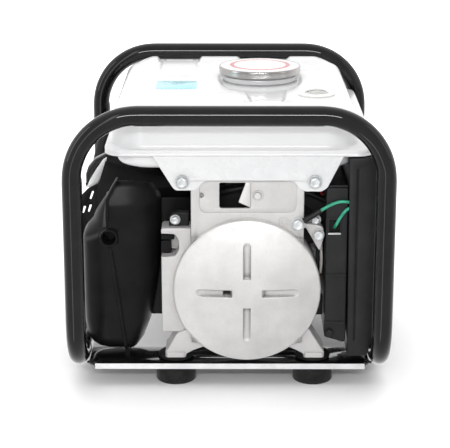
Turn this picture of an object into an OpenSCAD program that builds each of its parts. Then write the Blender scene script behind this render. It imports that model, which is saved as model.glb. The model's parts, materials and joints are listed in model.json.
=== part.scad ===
// Portable generator: two-stroke engine and alternator hung in a tube frame.
// Axes: +X control panel side, -Y alternator end, +Y recoil starter end, +Z up.

/* [Frame] */
// Radius of the frame tube
tube_r = 9.5; // [8:0.5:11]
// Distance of each leg tube from the middle
leg_x = 145.5; // [130:0.5:145.5]
// Distance of each hoop from the middle
hoop_y = 173; // [160:0.5:173]
// Height of the top tube centre line
top_z = 272.5; // [260:0.5:272.5]
// Height of the bottom rail centre line
rail_z = 27; // [24:0.5:30]
// Centre line bend radius at the top corners
corner_r = 60; // [40:1:70]
// Centre line bend radius at the bottom
foot_r = 42; // [30:1:50]

/* [Engine] */
// Sideways place of the crank axis
crank_x = 17; // [10:0.5:24]
// Height of the crank axis
crank_z = 98.5; // [95:0.5:104]
// Lean of the cylinder towards the muffler side, in degrees
lean = 55; // [50:1:60]
// Cylinder bore radius
bore_r = 22.6; // [20:0.1:24]

/* [Fits] */
// Running clearance on a radius
run = 0.05; // [0.02:0.01:0.1]
// Gap between curved faces of neighbouring bodies
gap = 0.4; // [0.3:0.1:0.8]
// Thickness of pressed sheet
sheet = 1.6; // [1.2:0.1:2.5]

/* [Hidden] */
seg = 96;
throw_r = 20;
rod_len = 66;
mount_x = [-52, 82];
mount_y = 131;
plate_top = 23;
plate_bot = 20;
leg_bot = 28;
white = [0.93, 0.93, 0.91];
black = [0.05, 0.05, 0.055];
alloy = [0.66, 0.65, 0.62];
steel = [0.72, 0.73, 0.74];
rubber = [0.09, 0.09, 0.09];
plastic = [0.16, 0.16, 0.17];
copper = [0.72, 0.4, 0.18];

// ---- helpers -------------------------------------------------------------
module xcyl(r, x0, x1, y, z, fn = seg) {
    translate([x0, y, z]) rotate([0, 90, 0]) cylinder(r = r, h = x1 - x0, $fn = fn);
}
module ycyl(r, y0, y1, x, z, fn = seg) {
    translate([x, y0, z]) rotate([-90, 0, 0]) cylinder(r = r, h = y1 - y0, $fn = fn);
}
module zcyl(r, z0, z1, x, y, fn = seg) {
    translate([x, y, z0]) cylinder(r = r, h = z1 - z0, $fn = fn);
}
module box(x0, x1, y0, y1, z0, z1) {
    translate([x0, y0, z0]) cube([x1 - x0, y1 - y0, z1 - z0]);
}
// child outline is drawn in X,Z and stands from y0 to y1
module along_y(y0, y1) {
    translate([0, y1, 0]) rotate([90, 0, 0]) linear_extrude(y1 - y0) children();
}
// child outline is drawn in Y,Z and stands from x0 to x1
module along_x(x0, x1) {
    translate([x0, 0, 0]) rotate([90, 0, 90]) linear_extrude(x1 - x0) children();
}
module along_z(z0, z1) {
    translate([0, 0, z0]) linear_extrude(z1 - z0) children();
}
module rect2(x0, x1, y0, y1, r) {
    translate([x0 + r, y0]) square([x1 - x0 - 2 * r, y1 - y0]);
    translate([x0, y0 + r]) square([x1 - x0, y1 - y0 - 2 * r]);
    for (x = [x0 + r, x1 - r], y = [y0 + r, y1 - r]) translate([x, y]) circle(r = r, $fn = seg);
}
// a rectangle with only its top corners rounded
module crown2(x0, x1, y0, y1, r) {
    translate([x0 + r, y0]) square([x1 - x0 - 2 * r, y1 - y0]);
    translate([x0, y0]) square([x1 - x0, y1 - y0 - r]);
    for (x = [x0 + r, x1 - r]) translate([x, y1 - r]) circle(r = r, $fn = seg);
}
// places a child in the cylinder's own frame: +Z from the crank axis to the head
module on_cylinder() {
    translate([crank_x, 0, crank_z]) rotate([0, -lean, 0]) children();
}
module on_crank() {
    translate([crank_x, 0, crank_z]) children();
}

// ---- frame ---------------------------------------------------------------
half_top = leg_x - corner_r;
rail_start = hoop_y - foot_r - 11;
module hoop() {
    xcyl(tube_r, -half_top, half_top, -hoop_y, top_z);
    for (s = [-1, 1]) {
        translate([s * half_top, -hoop_y, top_z - corner_r]) mirror([s < 0 ? 1 : 0, 0, 0])
            rotate([90, 0, 0]) rotate_extrude(angle = 90, $fn = seg)
                translate([corner_r, 0]) circle(r = tube_r, $fn = seg);
        zcyl(tube_r, rail_z + foot_r, top_z - corner_r, s * leg_x, -hoop_y);
        translate([s * leg_x, -hoop_y + foot_r, rail_z + foot_r]) rotate([180, 0, 0])
            rotate([90, 0, 90]) rotate_extrude(angle = 90, $fn = seg)
                translate([foot_r, 0]) circle(r = tube_r, $fn = seg);
        ycyl(tube_r, -hoop_y + foot_r, -rail_start, s * leg_x, rail_z);
    }
}
module near_hoop() color(black) hoop();
module far_hoop() color(black) mirror([0, 1, 0]) hoop();
module side_rails() color(black) {
    for (s = [-1, 1]) ycyl(tube_r, -rail_start, rail_start, s * leg_x, rail_z);
}
plate_x = 136.4;
module cross_plate() difference() {
    union() {
        along_z(plate_bot, plate_top) polygon([[-130.5, -152], [132, -152], [plate_x, -146],
            [plate_x, -106], [-plate_x, -106], [-plate_x, -146]]);
        box(-130.5, 132, -152, -150, 17.4, plate_bot);
        box(-128, 128, -108, -106, 12, plate_bot);
    }
    for (x = mount_x) zcyl(4.3, 10, 30, x, -mount_y, 32);
}
module cross_plates() color(black) {
    cross_plate();
    mirror([0, 1, 0]) cross_plate();
}
module rubber_mounts() color(rubber) {
    for (x = mount_x, s = [-1, 1]) translate([x, s * mount_y, 0]) {
        rotate_extrude($fn = seg) polygon([[8, 0], [18.6, 0], [19.5, 1.4], [19.5, 15.4],
            [18.2, 16.6], [15, 16.6], [15, plate_bot], [4.4, plate_bot], [4.4, 9], [8, 9]]);
        rotate_extrude($fn = seg) polygon([[4.4, plate_top], [15.5, plate_top], [17, 24.2],
            [17, 26.8], [15.5, leg_bot], [4.4, leg_bot]]);
    }
}
module mount_bolts() color(steel) {
    for (x = mount_x, s = [-1, 1]) translate([x, s * mount_y, 0]) {
        translate([0, 0, 3.5]) cylinder(r = 7.2, h = 5.5, $fn = 6);
        translate([0, 0, 9]) cylinder(r = 4, h = 34, $fn = 32);
    }
}

// ---- fuel tank -----------------------------------------------------------
tank_x0 = -112;
tank_x1 = 121;
tank_y = 146;
tank_top = 269.5;
rim_z0 = 228.6;
rim_z1 = 235;
pan_bot = 214;
module tank_plan(d, r) {
    rect2(tank_x0 + d, tank_x1 - d, -tank_y + d, tank_y - d, r - d);
}
module tank_solid(d) intersection() {
    along_z(rim_z1 - 2, tank_top - d) tank_plan(d, 26);
    along_y(-tank_y, tank_y) crown2(tank_x0 + d, tank_x1 - 3 - d, 200, tank_top - d, 15 - d);
    along_x(tank_x0, tank_x1) crown2(-tank_y + d, tank_y - d, 200, tank_top - d, 11 - d);
}
cap_x = 32;
cap_y = 40;
neck_r = 30;
gauge_x = 86;
gauge_y = -57;
module tank_upper_shell() color(white) difference() {
    union() {
        tank_solid(0);
        along_z(rim_z1 - 2, rim_z1) rect2(-118, 139, -150, 150, 18);
        // raised pad that carries the label field
        box(-74, -36, 38, 137, tank_top - 1, tank_top + 0.9);
    }
    translate([0, 0, -0.01]) tank_solid(sheet);
    box(tank_x0 + 20, tank_x1 - 20, -tank_y + 20, tank_y - 20, 200, rim_z1 + 1);
    along_z(200, rim_z1 - 0.5) tank_plan(sheet, 26);
    zcyl(neck_r + gap, 250, 290, cap_x, cap_y);
    zcyl(9.4, 250, 290, gauge_x, gauge_y);
    // shallow spill basin round the filler, with its drain channel
    difference() {
        union() {
            zcyl(52, tank_top - 0.9, 290, cap_x, cap_y);
            along_z(tank_top - 0.8, 290) polygon([[-10, 20], [-8, 0], [2, -32], [16, -42], [20, -88],
                [54, -88], [58, -42], [62, -32], [72, 0], [74, 20]]);
        }
        zcyl(44.5, 200, 290, cap_x, cap_y);
    }
    for (x = [-55, 31]) box(x - 19, x + 19, 139, 160, tank_top - 0.9, 290);
}
module tank_lower_shell() color(white) difference() {
    union() {
        along_z(rim_z0, rim_z1 - 2) rect2(-118, 139, -150, 150, 18);
        intersection() {
            along_z(pan_bot, rim_z0) rect2(-113, 111.6, -144, 144, 24);
            along_y(-tank_y, tank_y) polygon([[-113, 240], [-113, 222], [-96, pan_bot], [104, pan_bot],
                [111.6, 221], [111.6, 240]]);
            along_x(-120, 140) polygon([[-144, 240], [-144, 222], [-128, pan_bot], [128, pan_bot],
                [144, 222], [144, 240]]);
        }
    }
    along_z(rim_z0 - 1, 260) rect2(-110.4, 109.6, -142.4, 142.4, 22);
    intersection() {
        along_z(pan_bot + sheet, rim_z0) rect2(-111.4, 110, -142.4, 142.4, 22);
        along_y(-tank_y, tank_y) polygon([[-111, 260], [-111, 223.5], [-95.4, pan_bot + sheet],
            [103, pan_bot + sheet], [110, 222], [110, 260]]);
        along_x(-120, 140) polygon([[-142.4, 260], [-142.4, 223.5], [-127, pan_bot + sheet],
            [127, pan_bot + sheet], [142.4, 223.5], [142.4, 260]]);
    }
    zcyl(5, 200, 220, cock_x, cock_y, 32);
}
module bracket_plate() difference() {
    union() {
        along_y(-150, -148) polygon([[-70.6, rim_z0], [-53.4, 196.4], [-28.9, 196.4], [-22.3, 205],
            [62.7, 205], [69.4, 196.6], [92.9, 196.6], [107.6, rim_z0]]);
        box(-69, 105.5, -150, -144.6, rim_z0 - 2, rim_z0);
    }
    for (x = ear_x) ycyl(3.3, -155, -140, x, ear_z, 32);
}
ear_x = [-44.3, 80.6];
ear_z = 204.5;
module tank_brackets() color(white) {
    bracket_plate();
    difference() {
        union() {
            along_y(146, 148) polygon([[-70, rim_z0], [-53.4, 172], [-33, 172], [-22.3, 205],
                [62.7, 205], [72, 172], [92.9, 172], [106.4, rim_z0]]);
            box(-69, 105.5, 144.6, 148, rim_z0 - 2, rim_z0);
            // arms down to the fan housing bracket
            box(-53.4, -36, 104.2, 148, 170, 173);
            box(75, 92.9, 104.2, 148, 170, 173);
        }
        for (x = ear_x) zcyl(3.3, 160, 180, x, 116, 32);
    }
}
module washer_bolt(r_head, r_washer) {
    rotate([90, 0, 0]) {
        cylinder(r = r_washer, h = 1.2, $fn = 48);
        translate([0, 0, 1.2]) cylinder(r = r_head, h = 3.6, $fn = 6);
        translate([0, 0, -10]) cylinder(r = 2.9, h = 10, $fn = 32);
    }
}
module bracket_bolts() color(steel) {
    for (x = ear_x) translate([x, -150, ear_z]) washer_bolt(4.6, 6.6);
    translate([65.2, -148, 163.2]) washer_bolt(4.2, 6.2);
    translate([85.2, -140, 150.2]) washer_bolt(4, 5.4);
    translate([-51.4, -138, 164.5]) washer_bolt(3.6, 5);
    for (x = ear_x) translate([x, 116, 173]) rotate([-90, 0, 0]) washer_bolt(4.6, 6.6);
}
module filler_neck() color(steel) difference() {
    union() {
        zcyl(neck_r, tank_top - 14, 274, cap_x, cap_y);
        zcyl(neck_r + 5, tank_top - 4.4, tank_top - 2.4, cap_x, cap_y);
        zcyl(26, 232, tank_top - 14, cap_x, cap_y);
    }
    zcyl(neck_r - 3, tank_top - 10, 290, cap_x, cap_y);
    zcyl(24.6, 233.4, 290, cap_x, cap_y);
}
module cap_gasket() color(rubber) difference() {
    zcyl(neck_r, 274, 275.6, cap_x, cap_y);
    zcyl(neck_r - 5, 270, 280, cap_x, cap_y);
}
module fuel_cap() color(steel) translate([cap_x, cap_y, 0]) difference() {
    rotate_extrude($fn = seg) polygon([[0, 275.6], [neck_r + 0.6, 275.6], [neck_r + 0.6, 273.2],
        [42.5, 273.2], [42.5, 279.6], [40.4, 281.2], [34, 281.8], [32.4, 280.8], [0, 280.8]]);
    // grip flutes
    for (a = [0 : 15 : 345]) rotate([0, 0, a]) translate([43.4, 0, 265])
        cylinder(r = 1.5, h = 14, $fn = 24);
}
module fuel_gauge() color(plastic) translate([gauge_x, gauge_y, 0]) {
    rotate_extrude($fn = seg) polygon([[0, 240], [4, 240], [4, 262], [8.9, 262], [8.9, tank_top],
        [18, tank_top], [18, tank_top + 1.4], [17, tank_top + 2.2], [11, tank_top + 2.4],
        [8, tank_top + 4], [4, tank_top + 4.8], [0, tank_top + 5]]);
}

// ---- alternator ----------------------------------------------------------
face_y = -148;
drum_r = 70;
module leg_outline() polygon([[-30, 58], [-50.6, 52.2], [-59.6, 35.3], [-60.4, leg_bot],
    [-43.3, leg_bot], [-36, 33], [-24.7, 38], [0, 45]]);
module leg_outline_right() polygon([[62, 66], [77.3, 57.1], [90.3, 35.5], [90.6, leg_bot],
    [74.4, leg_bot], [66, 34], [57, 38], [34, 45]]);
module feet_pads(y0, y1) {
    box(-62, -41.5, y0, y1, leg_bot, 34);
    box(72, 92.5, y0, y1, leg_bot, 34);
}
module end_bracket() color(alloy) difference() {
    union() {
        ycyl(drum_r, face_y, -112.2, crank_x, crank_z);
        along_y(face_y, -114) rect2(-36, 70.5, 100, 211, 4);
        box(-52, 88, face_y, -139, 197.6, 210.5);
        along_y(face_y, -114) leg_outline();
        along_y(face_y, -114) leg_outline_right();
        feet_pads(-146, -116);
        along_y(-140, -130) polygon([[60, 162], [71.9, 160.6], [91, 158.6], [89, 150], [85.8, 132.6],
            [70, 130]]);
    }
    // alternator cavity and bearing seat
    ycyl(60, -138, -100, crank_x, crank_z);
    ycyl(16, -151, -100, crank_x, crank_z);
    // wiring tower
    along_y(-144, -100) rect2(-31.6, 66, 146, 206.6, 3);
    along_y(-160, -140) polygon([[-9.6, 203], [16.3, 203], [9, 184], [20.6, 178.6], [-9.6, 178.6]]);
    along_y(-160, face_y + 1.6) rect2(-28.1, 63.2, 174.6, 204.6, 7);
    ycyl(2.6, -160, -140, -26.2 + 4, 190.8, 24);
    // bolt holes
    for (x = ear_x) ycyl(3.2, -160, -130, x, ear_z, 32);
    ycyl(3.2, -160, -130, 65.2, 163.2, 32);
    ycyl(3.2, -160, -120, 85.2, 150.2, 32);
    for (x = mount_x) zcyl(4.3, 20, 44, x, -mount_y, 32);
}
module end_cover() color(alloy) {
    dome_r = 253.5;
    difference() {
        intersection() {
            on_crank() translate([0, -166 + dome_r, 0]) sphere(r = dome_r, $fn = 180);
            ycyl(70.5, -170, face_y, crank_x, crank_z);
        }
        ycyl(66, -153.5, face_y + 1, crank_x, crank_z);
        for (a = [0, 90, 180, 270]) on_crank() rotate([0, a, 0]) translate([0, -158.6, 15])
            rotate([7.8, 0, 0]) rotate([90, 0, 0]) linear_extrude(12) {
                translate([-3.5, 3.5]) square([7, 26]);
                translate([0, 3.5]) circle(r = 3.5, $fn = 48);
                translate([0, 29.5]) circle(r = 3.5, $fn = 48);
            }
        on_crank() rotate([0, 270, 0]) translate([0, 0, 18.5]) rotate([90, 0, 0])
            translate([0, 0, 140]) cylinder(r = 2.6, h = 30, $fn = 24);
    }
}
module side_box() color(alloy) difference() {
    union() {
        box(-63.6, -36.3, -144, -118, 56.6, 158);
        box(-60, -42, -138, -128, 158, 170);
    }
    ycyl(11.6, -160, -132, -59.5, 140.3, 48);
    box(-75, -59.5, -160, -132, 128.7, 151.9);
    ycyl(71.2, -160, -100, crank_x, crank_z);
    ycyl(3.2, -160, -120, -51.4, 164.5, 32);
}
stator_r = 62;
rotor_r = 40;
module stator_shell() color(black) ring(stator_r + 0.3, 66, -112, -58.2);
module stator_core() color(steel) difference() {
    ycyl(stator_r, -104, -66, crank_x, crank_z);
    ycyl(rotor_r + 0.5, -110, -60, crank_x, crank_z);
    for (a = [0 : 30 : 330]) on_crank() rotate([0, a, 0]) translate([-3, -110, 40])
        cube([6, 50, 13]);
}
module stator_winding() color(copper) {
    for (y = [-111, -65.6]) difference() {
        ycyl(56, y, y + 6.6, crank_x, crank_z);
        ycyl(42.5, y - 1, y + 8, crank_x, crank_z);
    }
    for (a = [0 : 30 : 330]) on_crank() rotate([0, a, 0]) translate([-2.6, -104.4, 43])
        cube([5.2, 38.8, 9.4]);
}
module rotor() color(steel) difference() {
    union() {
        ycyl(rotor_r, -104, -66, crank_x, crank_z);
        ycyl(30, -112, -58, crank_x, crank_z);
    }
    ycyl(9 + run, -120, -50, crank_x, crank_z);
}
module ring(r0, r1, y0, y1) difference() {
    ycyl(r1, y0, y1, crank_x, crank_z);
    ycyl(r0, y0 - 1, y1 + 1, crank_x, crank_z);
}
module bearings() color(steel) {
    ring(7 + run, 16 - run, -148, -138);
    ring(10 + run, 20 - run, -35, -23);
    ring(10 + run, 20 - run, 23, 35);
}

// ---- engine --------------------------------------------------------------
web_r = 33;
chamber_r = 34.5;
module crankcase() color(alloy) difference() {
    union() {
        ycyl(46, -44, 35.6, crank_x, crank_z);
        ycyl(67, -58, -50, crank_x, crank_z);
        ycyl(54, -50, -44, crank_x, crank_z);
        on_cylinder() translate([-32, -32, 30]) cube([64, 64, 18]);
        xcyl(15, 50, 71, 0, crank_z);
        for (a = [20, 100, 200, 280, 330]) on_crank() rotate([0, a, 0])
            translate([0, 35, 45]) rotate([90, 0, 0]) cylinder(r = 6, h = 79, $fn = 32);
    }
    ycyl(chamber_r, -22, 22, crank_x, crank_z);
    ycyl(20, -35, 35, crank_x, crank_z);
    ycyl(11, -70, 50, crank_x, crank_z);
    ycyl(59, -60, -54, crank_x, crank_z);
    on_cylinder() translate([0, 0, 30]) cylinder(r = 25.9, h = 30, $fn = seg);
    xcyl(10, 40, 80, 0, crank_z);
}
module barrel() color(alloy) on_cylinder() difference() {
    union() {
        translate([0, 0, 48]) cylinder(r = 29, h = 58, $fn = seg);
        translate([0, 0, 40]) cylinder(r = 25.5, h = 8, $fn = seg);
        translate([-30, -30, 48]) cube([60, 60, 4]);
        for (z = [56 : 7 : 98]) translate([0, 0, z]) linear_extrude(2.4)
            rect2(-38, 38, -38, 34, 9);
        translate([-15, -44, 66]) cube([30, 30, 26]);
    }
    translate([0, 0, 30]) cylinder(r = bore_r, h = 90, $fn = seg);
    translate([0, 0, 79]) rotate([90, 0, 0]) translate([0, 0, 10]) cylinder(r = 9, h = 40, $fn = 48);
}
module cylinder_head() color(alloy) on_cylinder() difference() {
    union() {
        translate([0, 0, 106]) linear_extrude(6) rect2(-38, 38, -38, 34, 9);
        for (x = [-36 : 9 : 36]) translate([x - 1.2, -30, 112]) cube([2.4, 56, 9]);
        translate([0, 0, 112]) cylinder(r = 13, h = 7, $fn = 48);
    }
    translate([0, 0, 90]) cylinder(r = 7.2, h = 40, $fn = 48);
    translate([0, 0, 119]) cylinder(r = 12.5, h = 10, $fn = 48);
}
module spark_plug() color(white) on_cylinder() {
    translate([0, 0, 107]) cylinder(r = 7, h = 12, $fn = 48);
    translate([0, 0, 119]) cylinder(r = 11, h = 9, $fn = 6);
    translate([0, 0, 128]) cylinder(r = 5.2, h = 12, $fn = 48);
    translate([0, 0, 140]) cylinder(r = 2.4, h = 5, $fn = 32);
}
module plug_cap() color(rubber) on_cylinder() difference() {
    union() {
        translate([0, 0, 130]) cylinder(r = 9.6, h = 40, $fn = 48);
        translate([0, 0, 161]) rotate([-90, 0, 0]) cylinder(r = 6.4, h = 26, $fn = 48);
        translate([0, 0, 161]) rotate([-90, 0, 0]) cylinder(r = 3.4, h = 61.6, $fn = 32);
    }
    translate([0, 0, 120]) cylinder(r = 5.5, h = 20.2, $fn = 48);
    translate([0, 0, 120]) cylinder(r = 2.7, h = 25.4, $fn = 32);
}
module piston() color(alloy) on_cylinder() difference() {
    translate([0, 0, 66]) cylinder(r = bore_r - 0.1, h = 38, $fn = seg);
    translate([0, 0, 50]) cylinder(r = 19, h = 48, $fn = seg);
    translate([0, 0, throw_r + rod_len]) rotate([90, 0, 0])
        translate([0, 0, -30]) cylinder(r = 5.6, h = 60, $fn = 48);
    for (z = [95, 99.6]) translate([0, 0, z]) difference() {
        cylinder(r = 30, h = 1.6, $fn = seg);
        translate([0, 0, -1]) cylinder(r = bore_r - 1.6, h = 4, $fn = seg);
    }
}
module connecting_rod() color(steel) on_cylinder() {
    difference() {
        union() {
            translate([0, 4.5, throw_r]) rotate([90, 0, 0]) cylinder(r = 12.4, h = 9, $fn = seg);
            translate([0, 4.5, throw_r + rod_len]) rotate([90, 0, 0])
                cylinder(r = 9, h = 9, $fn = seg);
            translate([-5, -2.5, throw_r + 8]) cube([10, 5, rod_len - 14]);
        }
        for (z = [throw_r, throw_r + rod_len]) translate([0, 10, z]) rotate([90, 0, 0])
            cylinder(r = z > 50 ? 5.5 : 8 + run, h = 20, $fn = 64);
    }
    translate([0, 8.8, throw_r]) rotate([90, 0, 0]) cylinder(r = 8, h = 17.6, $fn = 64);
    translate([0, 21.4, throw_r + rod_len]) rotate([90, 0, 0])
        cylinder(r = 5.5 - run, h = 42.8, $fn = 64);
}
module crankshaft() color(steel) {
    ycyl(web_r, -20, -9, crank_x, crank_z);
    ycyl(web_r, 9, 20, crank_x, crank_z);
    ycyl(10, -50, -20, crank_x, crank_z);
    ycyl(10, 20, 40, crank_x, crank_z);
    ycyl(9, -126, -50, crank_x, crank_z);
    ycyl(7, -150, -126, crank_x, crank_z);
    ycyl(8, 40, 98, crank_x, crank_z);
}
module cooling_fan() color(alloy) difference() {
    union() {
        ycyl(56, 44, 50, crank_x, crank_z);
        ycyl(22, 50, 90, crank_x, crank_z);
        // starter cup
        difference() {
            ycyl(28, 84, 110, crank_x, crank_z);
            ycyl(25, 90, 120, crank_x, crank_z);
        }
        for (a = [0 : 24 : 336]) on_crank() rotate([0, a, 0]) translate([-1.4, 49, 30])
            rotate([0, 14, 0]) cube([2.8, 23, 26]);
    }
    ycyl(8 + run, 30, 100, crank_x, crank_z);
}
module fan_housing() color(plastic) difference() {
    union() {
        ycyl(68, 36, 104, crank_x, crank_z);
        on_cylinder() translate([-44, 37, 20]) cube([88, 66, 112]);
    }
    ycyl(64.5, 40, 110, crank_x, crank_z);
    on_cylinder() translate([-40, 41, 22]) cube([80, 58, 106]);
    ycyl(30, 30, 50, crank_x, crank_z);
    // air outlet towards the fins
    on_cylinder() translate([-37, 30, 68]) cube([74, 20, 56]);
}
module rear_bracket() color(black) difference() {
    union() {
        along_y(104.2, 108) polygon([[-69, leg_bot], [-35, leg_bot], [-20, 35], [54, 35], [65, leg_bot],
            [99, leg_bot], [99, 36], [92.9, 170], [75, 170], [60, 164], [-26, 164], [-36, 170],
            [-53.4, 170], [-69, 36]]);
        box(-69, -35, 104.2, 148, leg_bot, 32);
        box(65, 99, 104.2, 148, leg_bot, 32);
        box(-53.4, -36, 104.2, 128, 166, 170);
        box(75, 92.9, 104.2, 128, 166, 170);
    }
    ycyl(58, 100, 112, crank_x, crank_z);
    for (x = ear_x) zcyl(3.3, 160, 180, x, 116, 32);
    for (x = mount_x) zcyl(4.3, 20, 44, x, mount_y, 32);
}
module recoil_cover() color(plastic) difference() {
    union() {
        ycyl(64, 108.4, 113, crank_x, crank_z);
        ycyl(56, 112, 140, crank_x, crank_z);
        ycyl(50, 140, 142, crank_x, crank_z);
        // rope guide
        translate([crank_x, 122, crank_z]) rotate([0, -pull_tilt, 0]) translate([-66, 0, 34])
            rotate([0, 90, 0]) cylinder(r = 7.5, h = 30, $fn = 48);
    }
    ycyl(52.5, 100, 138, crank_x, crank_z);
    for (a = [0 : 30 : 330]) on_crank() rotate([0, a, 0]) translate([-3, 130, 20])
        cube([6, 20, 26]);
    translate([crank_x, 122, crank_z]) rotate([0, -pull_tilt, 0]) translate([-90, 0, 34])
        rotate([0, 90, 0]) cylinder(r = 3.2, h = 90, $fn = 48);
}
pull_tilt = -14;
module recoil_reel() color(plastic) difference() {
    union() {
        ycyl(40, 115, 118.4, crank_x, crank_z);
        ycyl(40, 125.6, 129, crank_x, crank_z);
        ycyl(31, 118.4, 125.6, crank_x, crank_z);
        on_crank() translate([12, 104, -4]) cube([6, 11, 8]);
    }
    ycyl(6 + run, 100, 140, crank_x, crank_z);
}
module recoil_spring() color(steel) {
    // axle and the spring coiled round it
    ycyl(6, 112, 138, crank_x, crank_z);
    difference() {
        ycyl(30, 130.5, 137, crank_x, crank_z);
        ycyl(9, 129, 140, crank_x, crank_z);
    }
}
module on_rope() {
    translate([crank_x, 122, crank_z]) rotate([0, -pull_tilt, 0]) translate([0, 0, 34]) children();
}
module starter_grip() color(plastic) on_rope() {
    difference() {
        union() {
            translate([-172, 0, 0]) rotate([0, 90, 0]) cylinder(r = 5.6, h = 16, $fn = 48);
            translate([-172, 0, -19]) cylinder(r = 7, h = 38, $fn = 48);
        }
        translate([-168, 0, 0]) rotate([0, 90, 0]) cylinder(r = 2.1, h = 20, $fn = 32);
    }
}
module starter_rope() color(white) on_rope() {
    translate([-167.6, 0, 0]) rotate([0, 90, 0]) cylinder(r = 2, h = 163, $fn = 32);
}
module ignition_coil() color(plastic) on_cylinder() {
    translate([-18, 62, 132.4]) cube([32, 30, 37.6]);
}

// ---- fuel and air --------------------------------------------------------
cock_x = 100;
cock_y = 44;
module carburettor() color(alloy) difference() {
    union() {
        box(71, 79, -20, 20, crank_z - 20, crank_z + 20);
        xcyl(16, 79, 113, 0, crank_z);
        box(84, 108, -13, 13, 84, 114);
        zcyl(13, 66, 84, 96, 0);
        zcyl(7, 114, 124, 96, 0);
        ycyl(3.2, 13, 23.8, 100, 104);
        ycyl(2.4, -23, -13, 96, crank_z, 32);
    }
    xcyl(9, 70, 114, 0, crank_z);
}
choke_len = 17;
module choke_lever() color(steel) difference() {
    union() {
        ycyl(6, -21.4, -18.4, 96, crank_z);
        box(94, 98, -21.4, -18.4, crank_z - choke_len, crank_z);
        ycyl(4, -24.4, -18.4, 96, crank_z - choke_len);
    }
    ycyl(2.4 + run, -30, -10, 96, crank_z, 32);
}
module air_case() color(plastic) difference() {
    along_x(113.4, 138) rect2(-26, 62, 58, 152, 10);
    along_x(116, 140) rect2(-23, 59, 61, 149, 7);
    xcyl(12, 100, 120, 0, crank_z);
}
module air_filter() color(rubber) along_x(118, 134) rect2(-22, 58, 62, 148, 6);
module air_cover() color(plastic) {
    difference() {
        along_x(138.2, 150) rect2(-26, 62, 58, 152, 10);
        along_x(130, 147.6) rect2(-23.4, 59.4, 60.6, 149.4, 7.4);
        for (z = [84 : 12 : 126]) box(140, 160, -10, 46, z, z + 4);
    }
}
module fuel_cock() color(alloy) {
    difference() {
        union() {
            zcyl(4.5, 206, 222, cock_x, cock_y, 48);
            zcyl(9, 203, pan_bot, cock_x, cock_y, 6);
            box(cock_x - 8, cock_x + 10, cock_y - 9, cock_y + 9, 192, 204);
            zcyl(3.2, 182, 192, cock_x, cock_y, 32);
            xcyl(3, 110, 117, cock_y, 198, 32);
        }
        zcyl(2, 180, 230, cock_x, cock_y, 24);
    }
}
module cock_lever() color(black) difference() {
    union() {
        xcyl(7, 111, 116, cock_y, 198);
        box(111, 116, cock_y - 3.5, cock_y + 3.5, 172, 198);
    }
    xcyl(3 + run, 100, 130, cock_y, 198, 32);
}
module fuel_hose() color(black) {
    difference() {
        union() {
            zcyl(5, 124, 191, cock_x, cock_y, 48);
            translate([cock_x, 24, 124]) rotate([90, 0, 90]) rotate([0, 0, -90])
                rotate_extrude(angle = 90, $fn = seg) translate([20, 0]) circle(r = 5, $fn = 48);
            ycyl(5, 17, 24, cock_x, 104, 48);
        }
        zcyl(3.25, 124, 200, cock_x, cock_y, 48);
        ycyl(3.25, 10, 24, cock_x, 104, 48);
    }
}

// ---- exhaust -------------------------------------------------------------
muf_y0 = -130;
muf_y1 = -62;
outlet_x = -115.8;
outlet_z = 144;
module muffler_outline_left(d) polygon([[-117.4, 184 - d], [-125 + d * 0.4, 182 - d], [-138 + d, 168],
    [-142.9 + d, 150], [-142.9 + d, 50], [-140 + d, 36 + d], [-133 + d, 28 + d], [-101, 26 + d],
    [-101.5, 32.8], [-107.4, 80.7], [-115, 134.8], [-117.5, 152.9]]);
module muffler_outline_right(d) polygon([[-117.4, 184 - d], [-107.5, 200 - d], [-72, 200 - d],
    [-66 - d, 194 - d], [-65.8 - d, 145], [-67.9 - d, 108], [-72.5 - d, 82], [-78 - d, 53],
    [-87 - d, 33 + d], [-95 - d, 26 + d], [-101, 26 + d], [-101.5, 32.8], [-107.4, 80.7],
    [-115, 134.8], [-117.5, 152.9]]);
module seam_outline(w) polygon([[-107.5, 201], [-107.5 + w, 201], [-117.4 + w, 184],
    [-117.5 + w, 152.9], [-115 + w, 134.8], [-107.4 + w, 80.7], [-101.5 + w, 32.8], [-100 + w, 25],
    [-100, 25], [-101.5, 32.8], [-107.4, 80.7], [-115, 134.8], [-117.5, 152.9], [-117.4, 184]]);
module muffler_left() color(black) difference() {
    along_y(muf_y0, muf_y1) muffler_outline_left(0);
    along_y(muf_y0 + sheet, muf_y1 - sheet) muffler_outline_left(sheet);
    ycyl(8.8, -140, -110, outlet_x, outlet_z);
}
port_x = crank_x - 79 * sin(lean);
port_z = crank_z + 79 * cos(lean);
module muffler_right() color(black) difference() {
    union() {
        difference() {
            along_y(muf_y0, muf_y1) muffler_outline_right(0);
            along_y(muf_y0 + sheet, muf_y1 - sheet) muffler_outline_right(sheet);
        }
        // rolled seam, outlet pipe, then the elbow and flange of the exhaust port
        along_y(-132.6, muf_y0 + 0.8) seam_outline(1.8);
        ycyl(8.4, -133.6, -116, outlet_x, outlet_z);
        xcyl(8.5, -66.6, port_x - 14, -80, port_z);
        translate([port_x - 14, -66, port_z]) rotate([0, 0, -90]) rotate_extrude(angle = 90, $fn = seg)
            translate([14, 0]) circle(r = 8.5, $fn = seg);
        ycyl(8.5, -66, -45, port_x, port_z);
        on_cylinder() translate([-15, -49.4, 66]) cube([30, 5, 26]);
    }
    ycyl(6.8, -140, -100, outlet_x, outlet_z);
    ycyl(6.5, -64, -40, port_x, port_z);
    xcyl(6.5, -72, port_x - 16, -80, port_z);
}
module muffler_guard() color(black) difference() {
    box(-149, -128, -57.5, -55.5, 92, 182);
    for (z = [100 : 14 : 170]) along_y(-60, -50) polygon([[-146, z], [-133, z + 6], [-133, z + 10],
        [-146, z + 4]]);
}
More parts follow.
